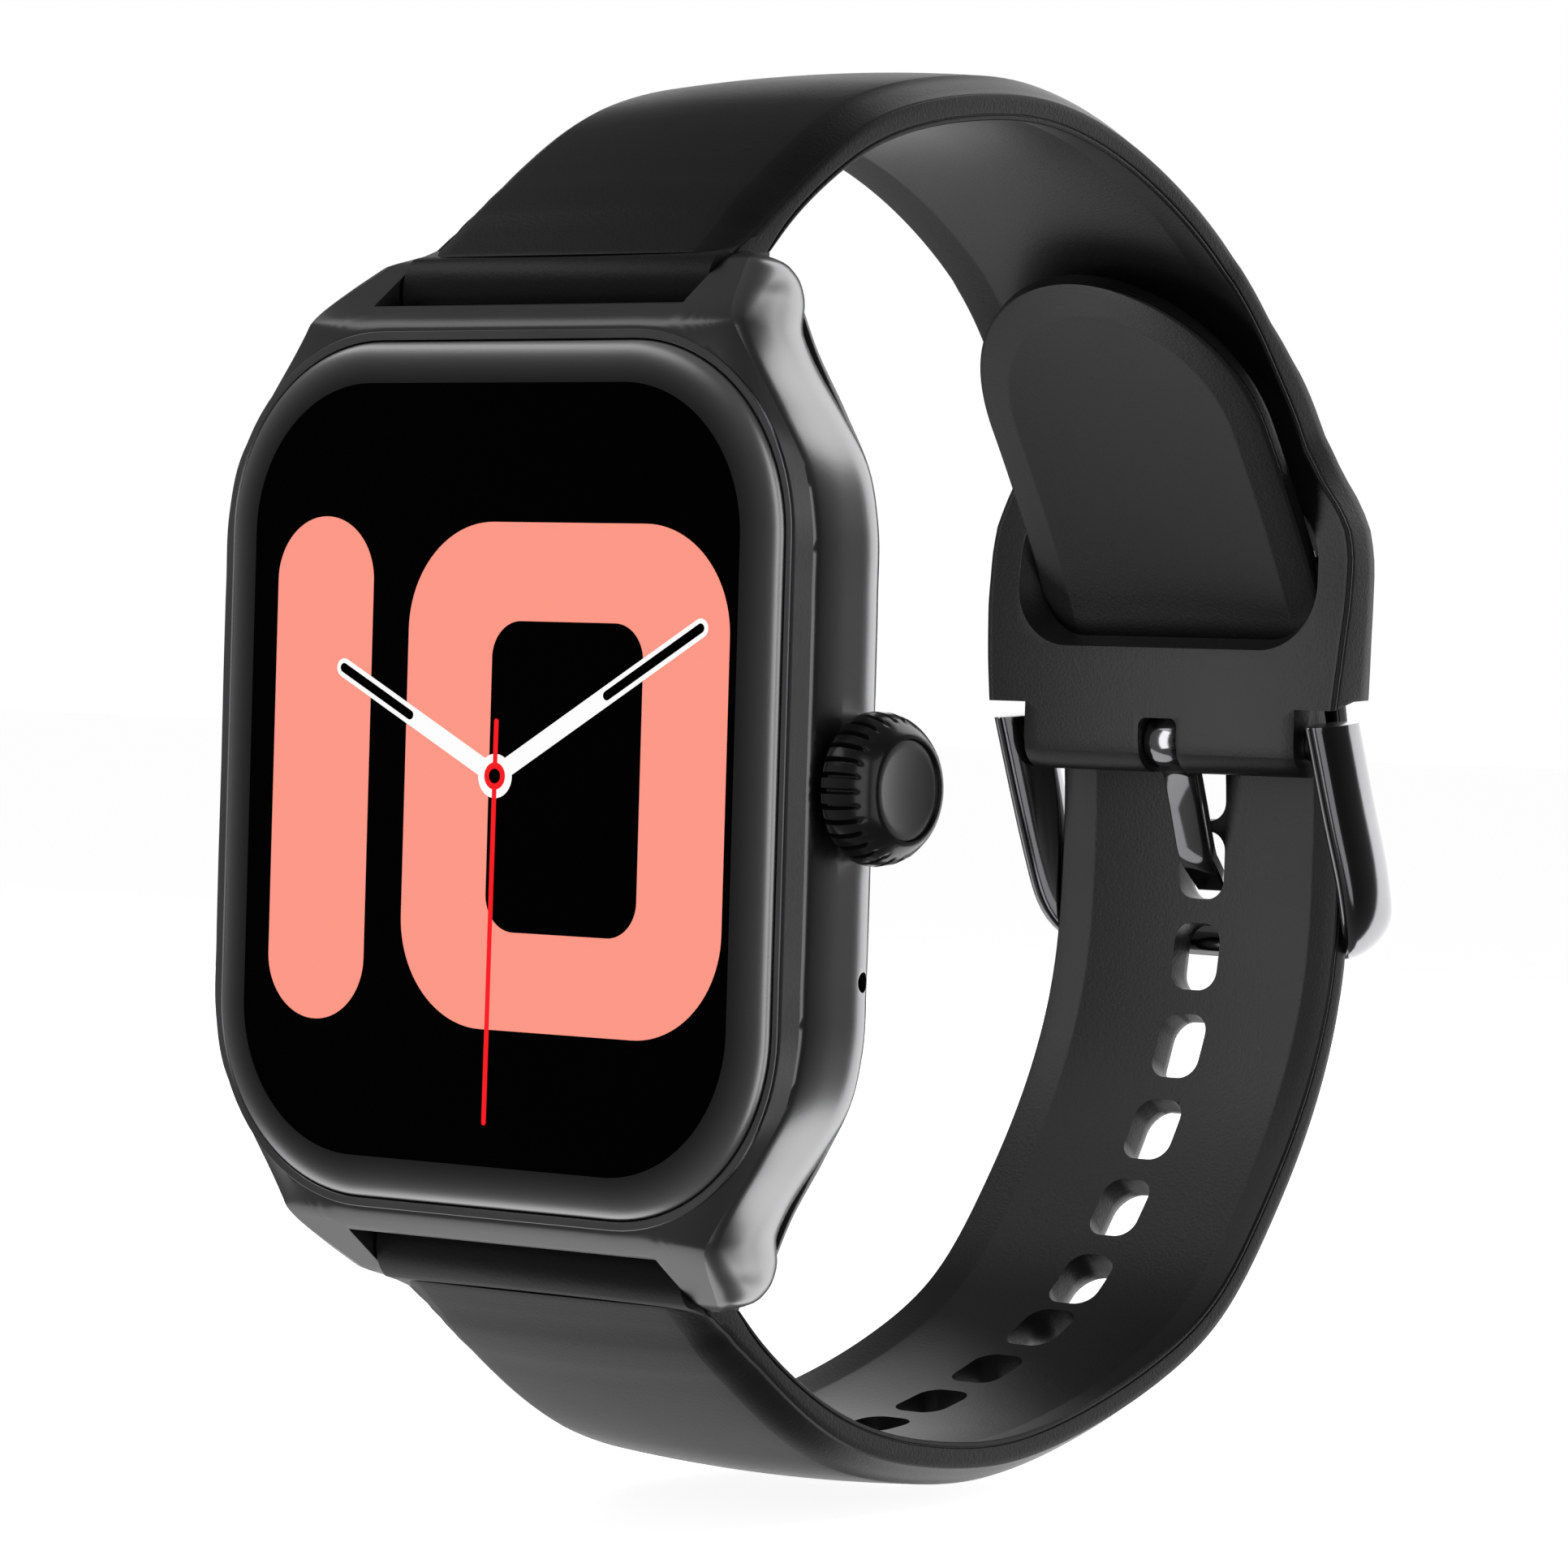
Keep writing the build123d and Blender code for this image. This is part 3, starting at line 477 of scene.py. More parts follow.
def front_depth(z, share):
    """The front face's depth at a height, a share of the way out from the bezel ring to the case's edge."""
    slope = SLOPE * max(abs(z) - SLOPE_START, 0.0) + 0.6 * ease(abs(z), 28.0, 28.6)
    fall = FRONT_FALL * share * (1 - ease(abs(z), 24.5, 27.0))
    return FRONT_Y + (fall**1.8 + slope**1.8) ** (1 / 1.8)


def rear_depth(z):
    """The metal ends level with the back cover, and the lugs reach round behind the bars."""
    round_end = -4.0 + math.sqrt(max(2.05**2 - max(abs(z) - BAR_Z, 0.0) ** 2, 0.02))
    return min(REAR_Y + 1.25 * ease(abs(z), 23.9, 26.4), round_end)


def lug_pocket():
    """The cutter for the room between the lugs at 12 o'clock, as a (y, z) outline."""
    radius = 2.6
    outline = [(-11.5, 25.56)]
    first = math.degrees(math.asin((25.56 - BAR_Z) / radius))
    for i in range(13):
        a = math.radians(-180 - first + (90 + first) * i / 12)
        outline.append((BAR_Y + radius * math.cos(a), BAR_Z + radius * math.sin(a)))
    return outline + [(2.0, BAR_Z - radius), (2.0, 33.0), (-11.5, 33.0)]


def flip(outline):
    return [(a, -b) for a, b in outline]


def case_body():
    """The metal case: a front face that slopes back on the lugs, and sides that swell like a pillow."""
    edge = outline_of(EDGE_X)
    full = outline_of(FULL_X)
    ring = [on_ring(p) for p in edge]
    loops = [[(x, -9.2, z) for x, z in ring]]
    for k in range(15):
        w = math.sin(math.pi / 2 * k / 14)
        loop = []
        for (rx, rz), (ex, ez) in zip(ring, edge):
            x, z = rx + (ex - rx) * w, rz + (ez - rz) * w
            loop.append((x, front_depth(z, w), z))
        loops.append(loop)
    front_loops = len(loops)
    for k in range(1, 22):
        t = k / 21
        loop = []
        for (ex, ez), (fx, _) in zip(edge, full):
            front, rear = front_depth(ez, 1), rear_depth(ez)
            waist = ease(abs(ez), 17.0, 23.0)
            along = (rear - front) * t
            near = 1 - min(along / min(2.6, 0.6 * (rear - front) + 0.01), 1)
            far = 1 - min((rear - front - along) / min(1.9 + 1.2 * waist, 0.45 * (rear - front) + 0.01), 1)
            side = 1 if ex > 0 else -1
            thin = min((rear - front) / 3.4, 1.0)
            shrink = thin * (0.68 + 0.45 * waist) * (1 - math.sqrt(1 - far * far * 0.98))
            swell = (abs(fx) - abs(ex)) * thin
            width = abs(ex) + swell * math.sqrt(1 - near * near) - shrink
            loop.append((side * width if abs(ex) > 11.7 else ex, front + along, ez))
        loops.append(loop)
    side_loops = len(loops)
    last = loops[-1]
    for k in range(1, 8):
        w = 0.3 * k / 7
        loop = []
        for x, _, z in last:
            zz = z * (1 - w)
            loop.append((x * (1 - w), rear_depth(zz), zz))
        loops.append(loop)
    body = stack("case_body", loops)
    body.data.materials.append(satin_metal)
    body.data.materials.append(gloss_metal)
    count = len(edge)
    for face in body.data.polygons:
        row = face.index // count
        face.material_index = 1 if front_loops - 1 <= row < side_loops - 1 else 0
    for outline in (lug_pocket(), flip(lug_pocket())):
        combine(body, prism("pocket", outline, LUG_GAP / 2), "DIFFERENCE")
    combine(body, plate("cavity", [(y, rounded_rect(19.0, 23.0, 10)) for y in (-1, -8.7)]), "DIFFERENCE")
    combine(body, plate("seat", [(y, rounded_rect(*SEAT)) for y in (-8.0, -11)]), "DIFFERENCE")
    for side in (-1, 1):
        hole = lathe("hole", ((-12.5, 0), (-12.5, 0.45), (12.5, 0.45), (12.5, 0)), (BAR_Y, side * BAR_Z), 24)
        combine(body, hole, "DIFFERENCE")
    combine(body, lathe("mic", ((18, 0), (18, 0.55), (23, 0.55), (23, 0)), (-4.05, -10.3), 32), "DIFFERENCE")
    combine(body, lathe("bore", ((18, 0), (18, 1.7), (23, 1.7), (23, 0)), (CROWN_Y, 0), 48), "DIFFERENCE")
    soften(body, 0.1, 40, 2)
    return wear(body, "case", [satin_metal, gloss_metal], ["mid_frame"])


def bezel():
    outer = SEAT
    inner = (19.6, 23.6, 10.6)
    lip, flat = (19.96, 24.04, 10.96), (19.66, 23.7, 10.66)
    rings = [(-9.4, outer), (-9.99, outer), (-10.03, lip), (-10.03, flat), (-9.97, inner), (-9.4, inner)]
    ring = stack("bezel", [[(x, y, z) for x, z in rounded_rect(*size)] for y, size in rings], closed=True)
    return wear(ring, "case", ring_metal, ["bezel_ring"])


def glass():
    """The cover glass, which rolls over at its edge."""
    steps = [(-8.95, 0.0), (-9.93, 0.0)]
    roll, drop, flat = 2.3, 0.9, math.radians(80)
    for i in range(1, 17):
        a = flat * i / 16
        fall, inwards = math.sin(a) / math.sin(flat), (1 - math.cos(a)) / (1 - math.cos(flat))
        steps.append((-9.93 - drop * fall, roll * inwards))
    rings = [(y, rounded_rect(19.5 - e, 23.5 - e, 10.5 - e, 28)) for y, e in steps]
    cover = plate("glass", rings)
    for face in cover.data.polygons:
        # The rolled edge takes the rim material, whose colour carries a painted reflection.
        face.material_index = 0 if face.normal.y < -0.999 else 1
    return wear(cover, "case", [glass_black, glass_rim_painted_reflection], ["cover_glass"])


# ---------------------------------------------------------------- dial
# Centres, half widths and half heights of the figures, and the ends of the hands, as (x, z).
DIAL = {
    "one": (-11.9, 0.0, 3.53, 13.86),
    "zero": (5.5, -0.05, 11.22, 13.72, 5.9),
    "hollow": (5.6, -0.05, 5.28, 8.4, 2.0),
    "hub": (0.78, -0.05),
    "hour": (-10.35, 5.55),
    "minute": (14.75, 8.2),
    "second": ((0.79, 2.9), (0.67, -18.8)),
}


def dial_ring(name, outer, inner, y, finish):
    """A flat shape on the dial between two (x, z) outlines with as many points each."""
    n = len(outer)
    points = [(x, y, z) for x, z in outer + inner]
    faces = [(i, (i + 1) % n, n + (i + 1) % n, n + i) for i in range(n)]
    return wear(solid(name, points, faces), "case", finish)


def dial_shape(name, outline, y, finish):
    points = [(x, y, z) for x, z in outline]
    return wear(solid(name, points, [tuple(range(len(points)))]), "case", finish)


def moved(outline, x, z):
    return [(a + x, b + z) for a, b in outline]


def hand_outline(start, end, half):
    """A bar with round ends from start to end, in (x, z)."""
    run = Vector((end[0] - start[0], end[1] - start[1]))
    angle = math.atan2(run.y, run.x)
    points = []
    for centre, base in ((end, angle - math.pi / 2), (start, angle + math.pi / 2)):
        for i in range(13):
            a = base + math.pi * i / 12
            points.append((centre[0] + half * math.cos(a), centre[1] + half * math.sin(a)))
    return points


def dial():
    """The watch face: a one and a zero, with an hour, a minute and a second hand in front."""
    salmon = screen_colour("screen_salmon", (1.0, 0.325, 0.25), 1.0)
    white = screen_colour("screen_white", (1.0, 1.0, 1.0), 1.0)
    red = screen_colour("screen_red", (0.95, 0.015, 0.02), 1.0)
    dark = screen_colour("screen_dark", (0.0, 0.0, 0.0), 1.0)
    top = -10.84
    one_x, one_z, one_w, one_h = DIAL["one"]
    dial_shape("dial_one", moved(rounded_rect(one_w, one_h, one_w - 0.01, 24), one_x, one_z), top, salmon)
    zx, zz, zw, zh, zr = DIAL["zero"]
    ix, iz, iw, ih, ir = DIAL["hollow"]
    outer = moved(rounded_rect(zw, zh, zr, 24), zx, zz)
    inner = moved(rounded_rect(iw, ih, ir, 24), ix, iz)
    dial_ring("dial_zero", outer, inner, top, salmon)
    hub = DIAL["hub"]
    for name, tip, cut in (("hour", DIAL["hour"], 0.56), ("minute", DIAL["minute"], 0.55)):
        dial_shape(name + "_hand", hand_outline(hub, tip, 0.52), top - 0.02, white)
        start = (hub[0] + (tip[0] - hub[0]) * cut, hub[1] + (tip[1] - hub[1]) * cut)
        dial_shape(name + "_hand_inset", hand_outline(start, tip, 0.26), top - 0.03, dark)
    dial_shape("hand_hub", moved(disc(1.2), *hub), top - 0.025, white)
    dial_shape("second_hand", hand_outline(DIAL["second"][0], DIAL["second"][1], 0.16), top - 0.04, red)
    dial_shape("second_hub", moved(disc(0.74), *hub), top - 0.05, red)
    dial_shape("second_pin", moved(disc(0.4), *hub), top - 0.06, dark)


# ---------------------------------------------------------------- back
def back_shell():
    """The back: a dark rim that follows the case, and a dome that rises to the sensor window."""
    steps = ((-3.35, 0.85, 0.75), (-2.85, 0.85, 0.6), (-2.5, 1.0, 0.75), (-2.3, 1.4, 1.3))
    rim = plate("back_shell", [(y, outline_of(FULL_X, e, g)) for y, e, g in steps])
    combine(rim, prism("clip", [(-5, 26.0), (2, 26.0), (2, -26.0), (-5, -26.0)], 30), "INTERSECT")
    for outline in (lug_pocket(), flip(lug_pocket())):
        combine(rim, prism("pocket", outline, LUG_GAP / 2), "DIFFERENCE")
    soften(rim, 0.15)
    levels = (
        (-2.6, 20.0, 23.9, 11.4),
        (-2.3, 19.85, 23.75, 11.2),
        (-2.05, 19.5, 23.35, 10.9),
        (-1.7, 19.0, 22.7, 10.4),
        (-1.35, 18.5, 22.0, 10.0),
        (-1.15, 17.2, 20.0, 10.4),
        (-1.0, 15.6, 17.4, 11.6),
        (-0.8, 14.1, 14.6, 13.2),
        (-0.5, 13.2, 13.25, 13.1),
        (-0.42, 12.9, 12.9, 12.8),
        (-0.6, 12.7, 12.7, 12.65),
    )
    dome = plate("dome", [(y, rounded_rect(w, h, r, 24)) for y, w, h, r in levels])
    for x in (-3.5, 3.5):
        combine(dome, turned_y("pad", ((-4, 1.12), (2, 1.12)), (x, -17.4)), "DIFFERENCE")
    for x in (-14.5, 14.5):
        for z in (-18.5, 18.5):
            combine(dome, turned_y("pit", ((-4, 1.12), (2, 1.12)), (x, z)), "DIFFERENCE")
            combine(rim, turned_y("pit", ((-4, 1.12), (2, 1.12)), (x, z)), "DIFFERENCE")
    tidy(dome, 30)
    return wear(join("back_shell", [rim, dome]), "case", back_black, ["back_cover"])


def turned_y(name, profile, centre, steps=40):
    """A (y, radius) profile turned about the Y line through centre (x, z)."""
    return stack(name, [[(x, y, z) for x, z in disc(r, centre, steps)] for y, r in profile])


def sensor():
    """The round sensor window, with two printed rings."""
    profile = [(-1.3, 12.6), (-0.75, 12.6)]
    for i in range(1, 9):
        a = math.radians(90 * i / 8)
        profile.append((-0.75 + 0.75 * math.sin(a), 12.6 - 1.1 * (1 - math.cos(a))))
    window = turned_y("sensor_glass", profile, (0, 0), 96)
    wear(window, "case", sensor_black, ["sensor_window"])
    lens = material("lens_tint", (0.02, 0.03, 0.025), 0.08, patch=0.02, coat=0.5)
    for k, (radius, inner) in enumerate(((8.6, 8.35), (3.2, 3.0))):
        ring = dial_ring(f"sensor_print_{k}", disc(radius), disc(inner), 0.004, lens)


# ---------------------------------------------------------------- crown
def crown():
    """The knurled crown and its dished, polished face."""
    slots, per = 30, 8
    steps = slots * per
    profile = [
        *((21.45, 0.3), (21.45, 3.45), (21.52, 3.72), (21.7, 3.95), (21.9, 4.05), (22.2, 4.1), (22.6, 4.1)),
        *((23.0, 4.03), (23.35, 3.92), (23.6, 3.8), (23.8, 3.68), (24.0, 3.53), (24.2, 3.36), (24.38, 3.18)),
        *((24.52, 3.0), (24.58, 2.9), (24.58, 2.72), (24.3, 2.68), (24.25, 0.3)),
    ]
    rings = []
    for x, radius in profile:
        ring = []
        depth = 0.42 * (1 - ease(x, 23.2, 24.0)) if radius > 3.4 else 0.0
        for i in range(steps):
            a = 2 * math.pi * (i + 0.5) / steps
            in_slot = 1.0 if (i % per) in (0, 1) else 0.0
            r = radius - depth * in_slot
            ring.append((x, CROWN_Y + r * math.cos(a), r * math.sin(a)))
        rings.append(ring)
    knob = stack("crown_cap", rings)
    tidy(knob, 40)
    wear(knob, "crown", crown_metal, ["crown_knob"])
    lip = [(24.26, 2.68), (24.42, 2.66), (24.44, 2.6)]
    dish = [(24.44 - 0.1 * (1 - (r / 2.6) ** 2), r) for r in (2.2, 1.8, 1.4, 1.0, 0.6, 0.2, 0.0)]
    face = lathe("crown_face", lip + dish, (CROWN_Y, 0))
    wear(face, "crown", crown_polish)


# ---------------------------------------------------------------- strap
# The side wall is tall at the lugs and drops in a short S: its height at distances along the strap.
ROOT_RUN = (0.0, 0.6, 1.3, 2.2, 3.5, 6.0, 9.0, 12.0, 16.0)
ROOT_WALL = (3.45, 2.65, 1.85, 1.4, 1.22, 1.25, 1.36, 1.46, 1.5)


# The buckle end's half width and its side wall, at heights up the back of the wrist.
END_Z = (4.0, 7.5, 10.8, 13.6, 15.3, 16.7, 18.3, 20.3, 24.7, 31.0)
END_HALF = (12.9, 13.25, 13.5, 13.5, 13.25, 12.6, 11.5, 10.75, 10.5, 10.15)
END_WALL_Z = (0.4, 5.3, 10.8, 14.0, 16.8, 20.0, 23.5, 27.0)
END_WALL = (3.95, 3.85, 3.0, 2.75, 2.6, 2.5, 2.3, 1.5)
# The free tail's inner face: where its crest lies, how deep its dish is, and how far its margin falls away.
TAIL_CREST = 0.786
TAIL_DISH = 0.5
TAIL_FALL = 0.32
TIP_RUN = 11.0
# A section's first points lie on its inner face.
INNER_POINTS = 12


def stations_along(path, first, last):
    """Points, headings and runs along a path: close together at both ends, 0.8 mm apart between."""
    points, headings, run = spline(path, 3000)
    total = run[-1]
    start = first * (1 - np.cos(np.linspace(0, math.pi / 2, 14))[1:-1])
    middle = np.linspace(first, total - last, int((total - first - last) / 0.8))
    end = total - last + last * np.sin(np.linspace(0, math.pi / 2, 40))[1:]
    at = np.concatenate([[0.0], start, middle, end])
    points = np.stack([np.interp(at, run, points[:, k]) for k in (0, 1)], 1)
    headings = np.stack([np.interp(at, run, headings[:, k]) for k in (0, 1)], 1)
    return points, headings, at


def root_swell(s):
    """How far out the strap's outer face stands beside the roll: it rounds in to meet it."""
    return 0.86 + 0.14 * math.sqrt(1 - (1 - min(s / 0.75, 1)) ** 2)


def strap_section(half, wall, recess_half, top_half, bevel, crown, recess=0.4):
    """One side of a strap's cross section as (across, outwards).

    It runs from the middle of the inner face, round the edge and up the bevel, to the middle of the outer face.
    """
    rise = bevel * ease(top_half, 0.0, 3.0)
    swell = crown * ease(top_half, 0.0, 5.0)
    side = []
    for k in range(7):
        side.append((recess_half * k / 7, recess))
    side += [(recess_half - 0.12, recess), (recess_half, recess), (recess_half + 0.12, recess - 0.02)]
    edge = max(half - 0.3, recess_half + 0.2)
    side += [((recess_half + edge) / 2, recess * 0.45), (edge, 0.02)]
    side += [(half - 0.12, 0.0), (half - 0.02, 0.07), (half, 0.16)]
    side += [(half - 0.01, 0.24), (half - 0.09, 0.28), (half - 0.09, 0.34), (half - 0.01, 0.38)]
    side += [(half, 0.5), (half, wall * 0.7), (half, wall - 0.1), (half - 0.04, wall - 0.02)]
    side += [(half - 0.12, wall), (half - 0.26, wall + 0.01)]
    first = half - 0.34
    for k in range(7):
        t = k / 6
        bulge = 0.14 * math.sin(math.pi * t)
        side.append((first + (top_half - first) * t, wall + 0.04 + (rise - 0.04) * t + bulge * rise))
    side += [(top_half - 0.07, wall + rise + 0.012)]
    for k in range(1, 9):
        t = 1 - k / 8
        side.append(((top_half - 0.07) * t, wall + rise + 0.012 + swell * (1 - t * t)))
    return side


def strap_skin(name, stations):
    """Skins (inner point (y, z), outward direction (y, z), section) stations, each section mirrored in X."""
    rings = []
    for point, outward, side in stations:
        full = side + [(-u, v) for u, v in reversed(side[1:-1])]
        rings.append([(u, point[0] + outward[0] * v, point[1] + outward[1] * v) for u, v in full])
    return stack(name, rings)


def root_outline(side):
    """The strap's end round its spring bar, as (y, z)."""
    turn = [math.radians(a) for a in range(-30, -231, -8)]
    arc = [(BAR_Y + 2.32 * math.cos(a), BAR_Z + 2.32 * math.sin(a)) for a in turn]
    arc += [(-4.5, 28.6), (-3.4, 29.0), (-1.1, 29.0), (-1.0, 28.6), (-1.35, 27.2)]
    return [(y, z * side) for y, z in arc]


def finish_root(strap, side):
    root = prism("root", root_outline(side), 10.86)
    bar = lathe("bar", ((-12, 0), (-12, 0.8), (12, 0.8), (12, 0)), (BAR_Y, side * BAR_Z), 32)
    combine(root, bar, "DIFFERENCE")
    slot_y = [(-4.2, -0.75), (-4.2, 0.75), (1.0, 0.75), (1.0, -0.75)]
    lever = stack("lever", [[(x, y, side * BAR_Z + z) for y, z in slot_y] for x in (6.1, 8.7)])
    combine(root, lever, "DIFFERENCE")
    soften(root, 0.25)
    return join(strap.name, [root, strap])


def outward_of(heading, towards):
    """The unit normal of a (y, z) heading that points away from the wrist."""
    n = np.array([-heading[1], heading[0]]) * towards
    return n


def upper_strap():
    """The half that holds the buckle, with the window that the tail goes through."""
    path = (
        *((-1.0, 28.75), (1.0, 30.6), (4.3, 33.0), (8.0, 35.0), (12.5, 36.45), (18.0, 37.4), (24.8, 37.7)),
        *((31.4, 36.5), (37.65, 34.0), (42.9, 30.8), (46.6, 27.5), (49.0, 24.5), (50.7, 22.2), (51.95, 20.0)),
        *((53.0, 16.7), (53.1, 13.6), (52.85, 10.8), (52.6, 7.5), (52.5, 4.5), (52.5, 0.42)),
    )
    points, headings, run = stations_along(path, 3.0, 1.2)
    stations = []
    for p, h, s in zip(points, headings, run):
        back = p[0] > 44
        z = p[1]
        if back:
            half = float(np.interp(z, END_Z, END_HALF))
            wall = float(np.interp(z, END_WALL_Z, END_WALL))
        else:
            half = 10.95 - 0.8 * ease(s, 5.0, 42.0)
            wall = float(np.interp(s, ROOT_RUN, ROOT_WALL))
        flare = ease(-z, -25.8, -22.4) if back else 0.0
        end = min(max(2.3 - z, 0.0), 1.88) if back else 0.0
        inset = 1.92 - math.sqrt(max(1.92**2 - end**2, 0.0))
        normal = outward_of(h, 1)
        tilt = 1 - ease(s, 0.0, 3.2)
        outward = normal * (1 - tilt) + np.array([-1.0, -0.08]) * tilt
        outward /= np.linalg.norm(outward)
        bevel = 1.1 * (1 - 0.75 * flare)
        crown = 0.36 * (1 - flare)
        recess_half, top_half = half - 2.35 + 2.0 * flare, half - 2.1 + 1.3 * flare
        recess = 0.4 * (1 - flare)
        side = strap_section(half, wall - bevel * flare * 0.3, recess_half, top_half, bevel, crown, recess)
        side = [(u, v * root_swell(s)) for u, v in side]
        if inset > 0:
            side = [(u, min(max(v, inset), wall - inset)) for u, v in side]
        stations.append((p, outward, side))
    strap = strap_skin("strap_upper", stations)
    saddle = [(56.35, 2.8), (54.55, 8.4), (54.3, 20.5), (66.0, 22.0), (66.0, 2.8)]
    combine(strap, prism("saddle", saddle, 10.65), "DIFFERENCE")
    window = (
        (50.0, 12.2, 5.6, 4.6, 13.1),
        (52.6, 11.4, 5.0, 4.2, 13.1),
        (53.6, 10.85, 4.1, 3.5, 12.75),
        (54.1, 10.4, 3.7, 3.3, 12.5),
        (54.9, 10.25, 3.7, 3.3, 12.5),
        (62.0, 10.25, 3.7, 3.3, 12.5),
    )
    levels = [(y, moved(rounded_rect(w, h, r), 0, z)) for y, w, h, r, z in window]
    combine(strap, plate("window", levels), "DIFFERENCE")
    for side in (-1, 1):
        notch = [(49.0, 4.3), (52.2, 4.46), (54.6, 5.15), (57.0, 5.3), (60.0, 5.3), (60.0, -3.0), (49.0, -3.0)]
        cutter = stack("notch", [[(side * x, y, z) for y, z in notch] for x in (10.1, 16.0)])
        combine(strap, cutter, "DIFFERENCE")
    slot = [(y, moved(rounded_rect(1.42, 3.4, 0.5, 6), 0, 0.38)) for y in (50.0, 60.0)]
    combine(strap, plate("slot", slot), "DIFFERENCE")
    tunnel = lathe("tunnel", ((-16, 0), (-16, 0.96), (16, 0.96), (16, 0)), (BUCKLE_Y, BUCKLE_Z), 40)
    combine(strap, tunnel, "DIFFERENCE")
    soften(strap, 0.22, 40)
    strap = finish_root(strap, 1)
    return wear(strap, "case", silicone, ["upper_strap"])


def tail_face(share):
    """How far out the tail's inner face lies, at a share of the way to its edge.

    It is a dish inside a crest, with a sloping margin outside it.
    """
    if share < TAIL_CREST:
        return TAIL_DISH * (1 - (share / TAIL_CREST) ** 2)
    return TAIL_FALL * min((share - TAIL_CREST) / (1 - TAIL_CREST), 1.0)


def lower_strap():
    """The half with the holes, whose free tail lies inside the other half."""
    path = (
        *((-1.0, -28.75), (1.2, -30.65), (4.6, -33.0), (8.35, -34.95), (13.2, -36.5), (18.0, -37.3)),
        *((24.0, -37.6), (31.4, -36.5), (39.4, -34.0), (45.2, -30.9), (49.7, -26.1), (53.0, -21.4)),
        *((55.5, -16.5), (56.95, -11.5)),
        *((57.4, -5.5), (57.3, 0.0), (56.45, 5.0), (54.1, 11.1), (50.1, 18.0), (47.2, 22.3), (41.3, 29.6)),
    )
    points, headings, run = stations_along(path, 3.0, 12.0)
    total = run[-1]
    stations = []
    for p, h, s in zip(points, headings, run):
        half = 10.95 - 0.5 * ease(s, 4, 40) - 0.35 * ease(s, 70, 130)
        thin = ease(s, 60.0, 85.0)
        wall = float(np.interp(s, ROOT_RUN, ROOT_WALL)) * (1 - 0.13 * thin)
        left = total - s

        def narrowed(width, margin):
            reach = TIP_RUN - margin * 0.55
            ahead = left - margin
            if ahead <= 0:
                return 0.0
            if ahead >= reach:
                return width
            return width * math.sqrt(max(1 - (1 - ahead / reach) ** 2.1, 0.0))

        outer = max(narrowed(half, 0.0), 0.35)
        ahead = max(1 - left / TIP_RUN, 0.0)
        recess_half = max(half * max(TAIL_CREST**2.1 - ahead**2.1, 0.0) ** (1 / 2.1), 0.45 * outer)
        top_half = min(narrowed(half - 2.1, 1.6), outer - 0.25)
        normal = outward_of(h, -1)
        tilt = 1 - ease(s, 0.0, 3.2)
        outward = normal * (1 - tilt) + np.array([-1.0, 0.08]) * tilt
        outward /= np.linalg.norm(outward)
        top_half = max(top_half, 0.02)
        side = strap_section(outer, wall, recess_half, top_half, 1.1 - 0.35 * thin, 0.36 - 0.2 * thin)
        tail = ease(-left, -34.0, -22.0)
        shares = [((abs(u) / half) ** 2.1 + ahead**2.1) ** (1 / 2.1) for u, _ in side[:INNER_POINTS]]
        inner = [(u, v * (1 - tail) + tail * tail_face(w)) for (u, v), w in zip(side[:INNER_POINTS], shares)]
        side = inner + [(u, v + TAIL_FALL * tail * max(1 - v / wall, 0.0)) for u, v in side[INNER_POINTS:]]
        side = [(u, v * root_swell(s)) for u, v in side]
        stations.append((p, outward, side))
    strap = strap_skin("strap_lower", stations)
    first = int(np.argmax((points[:, 0] > 57.0) & (points[:, 1] > -6.0)))
    for k in range(11):
        i = int(np.argmin(np.abs(run - (run[first] - 0.4 + (1 - k) * 5.5))))
        point, heading = points[i], headings[i]
        normal = outward_of(heading, -1)
        rings = []
        for depth, grow in ((-1.0, 0.0), (1.75, 0.0), (2.3, 0.12), (2.75, 0.42), (3.6, 0.9)):
            outline = rounded_rect(1.7 + grow, 2.1 + grow, 1.2 + grow, 8)
            base = point + normal * depth
            rings.append([(u, base[0] + heading[0] * v, base[1] + heading[1] * v) for u, v in outline])
        combine(strap, stack("hole", rings), "DIFFERENCE")
    soften(strap, 0.14, 42, 2)
    strap = finish_root(strap, -1)
    return wear(strap, "case", silicone, ["lower_strap"])


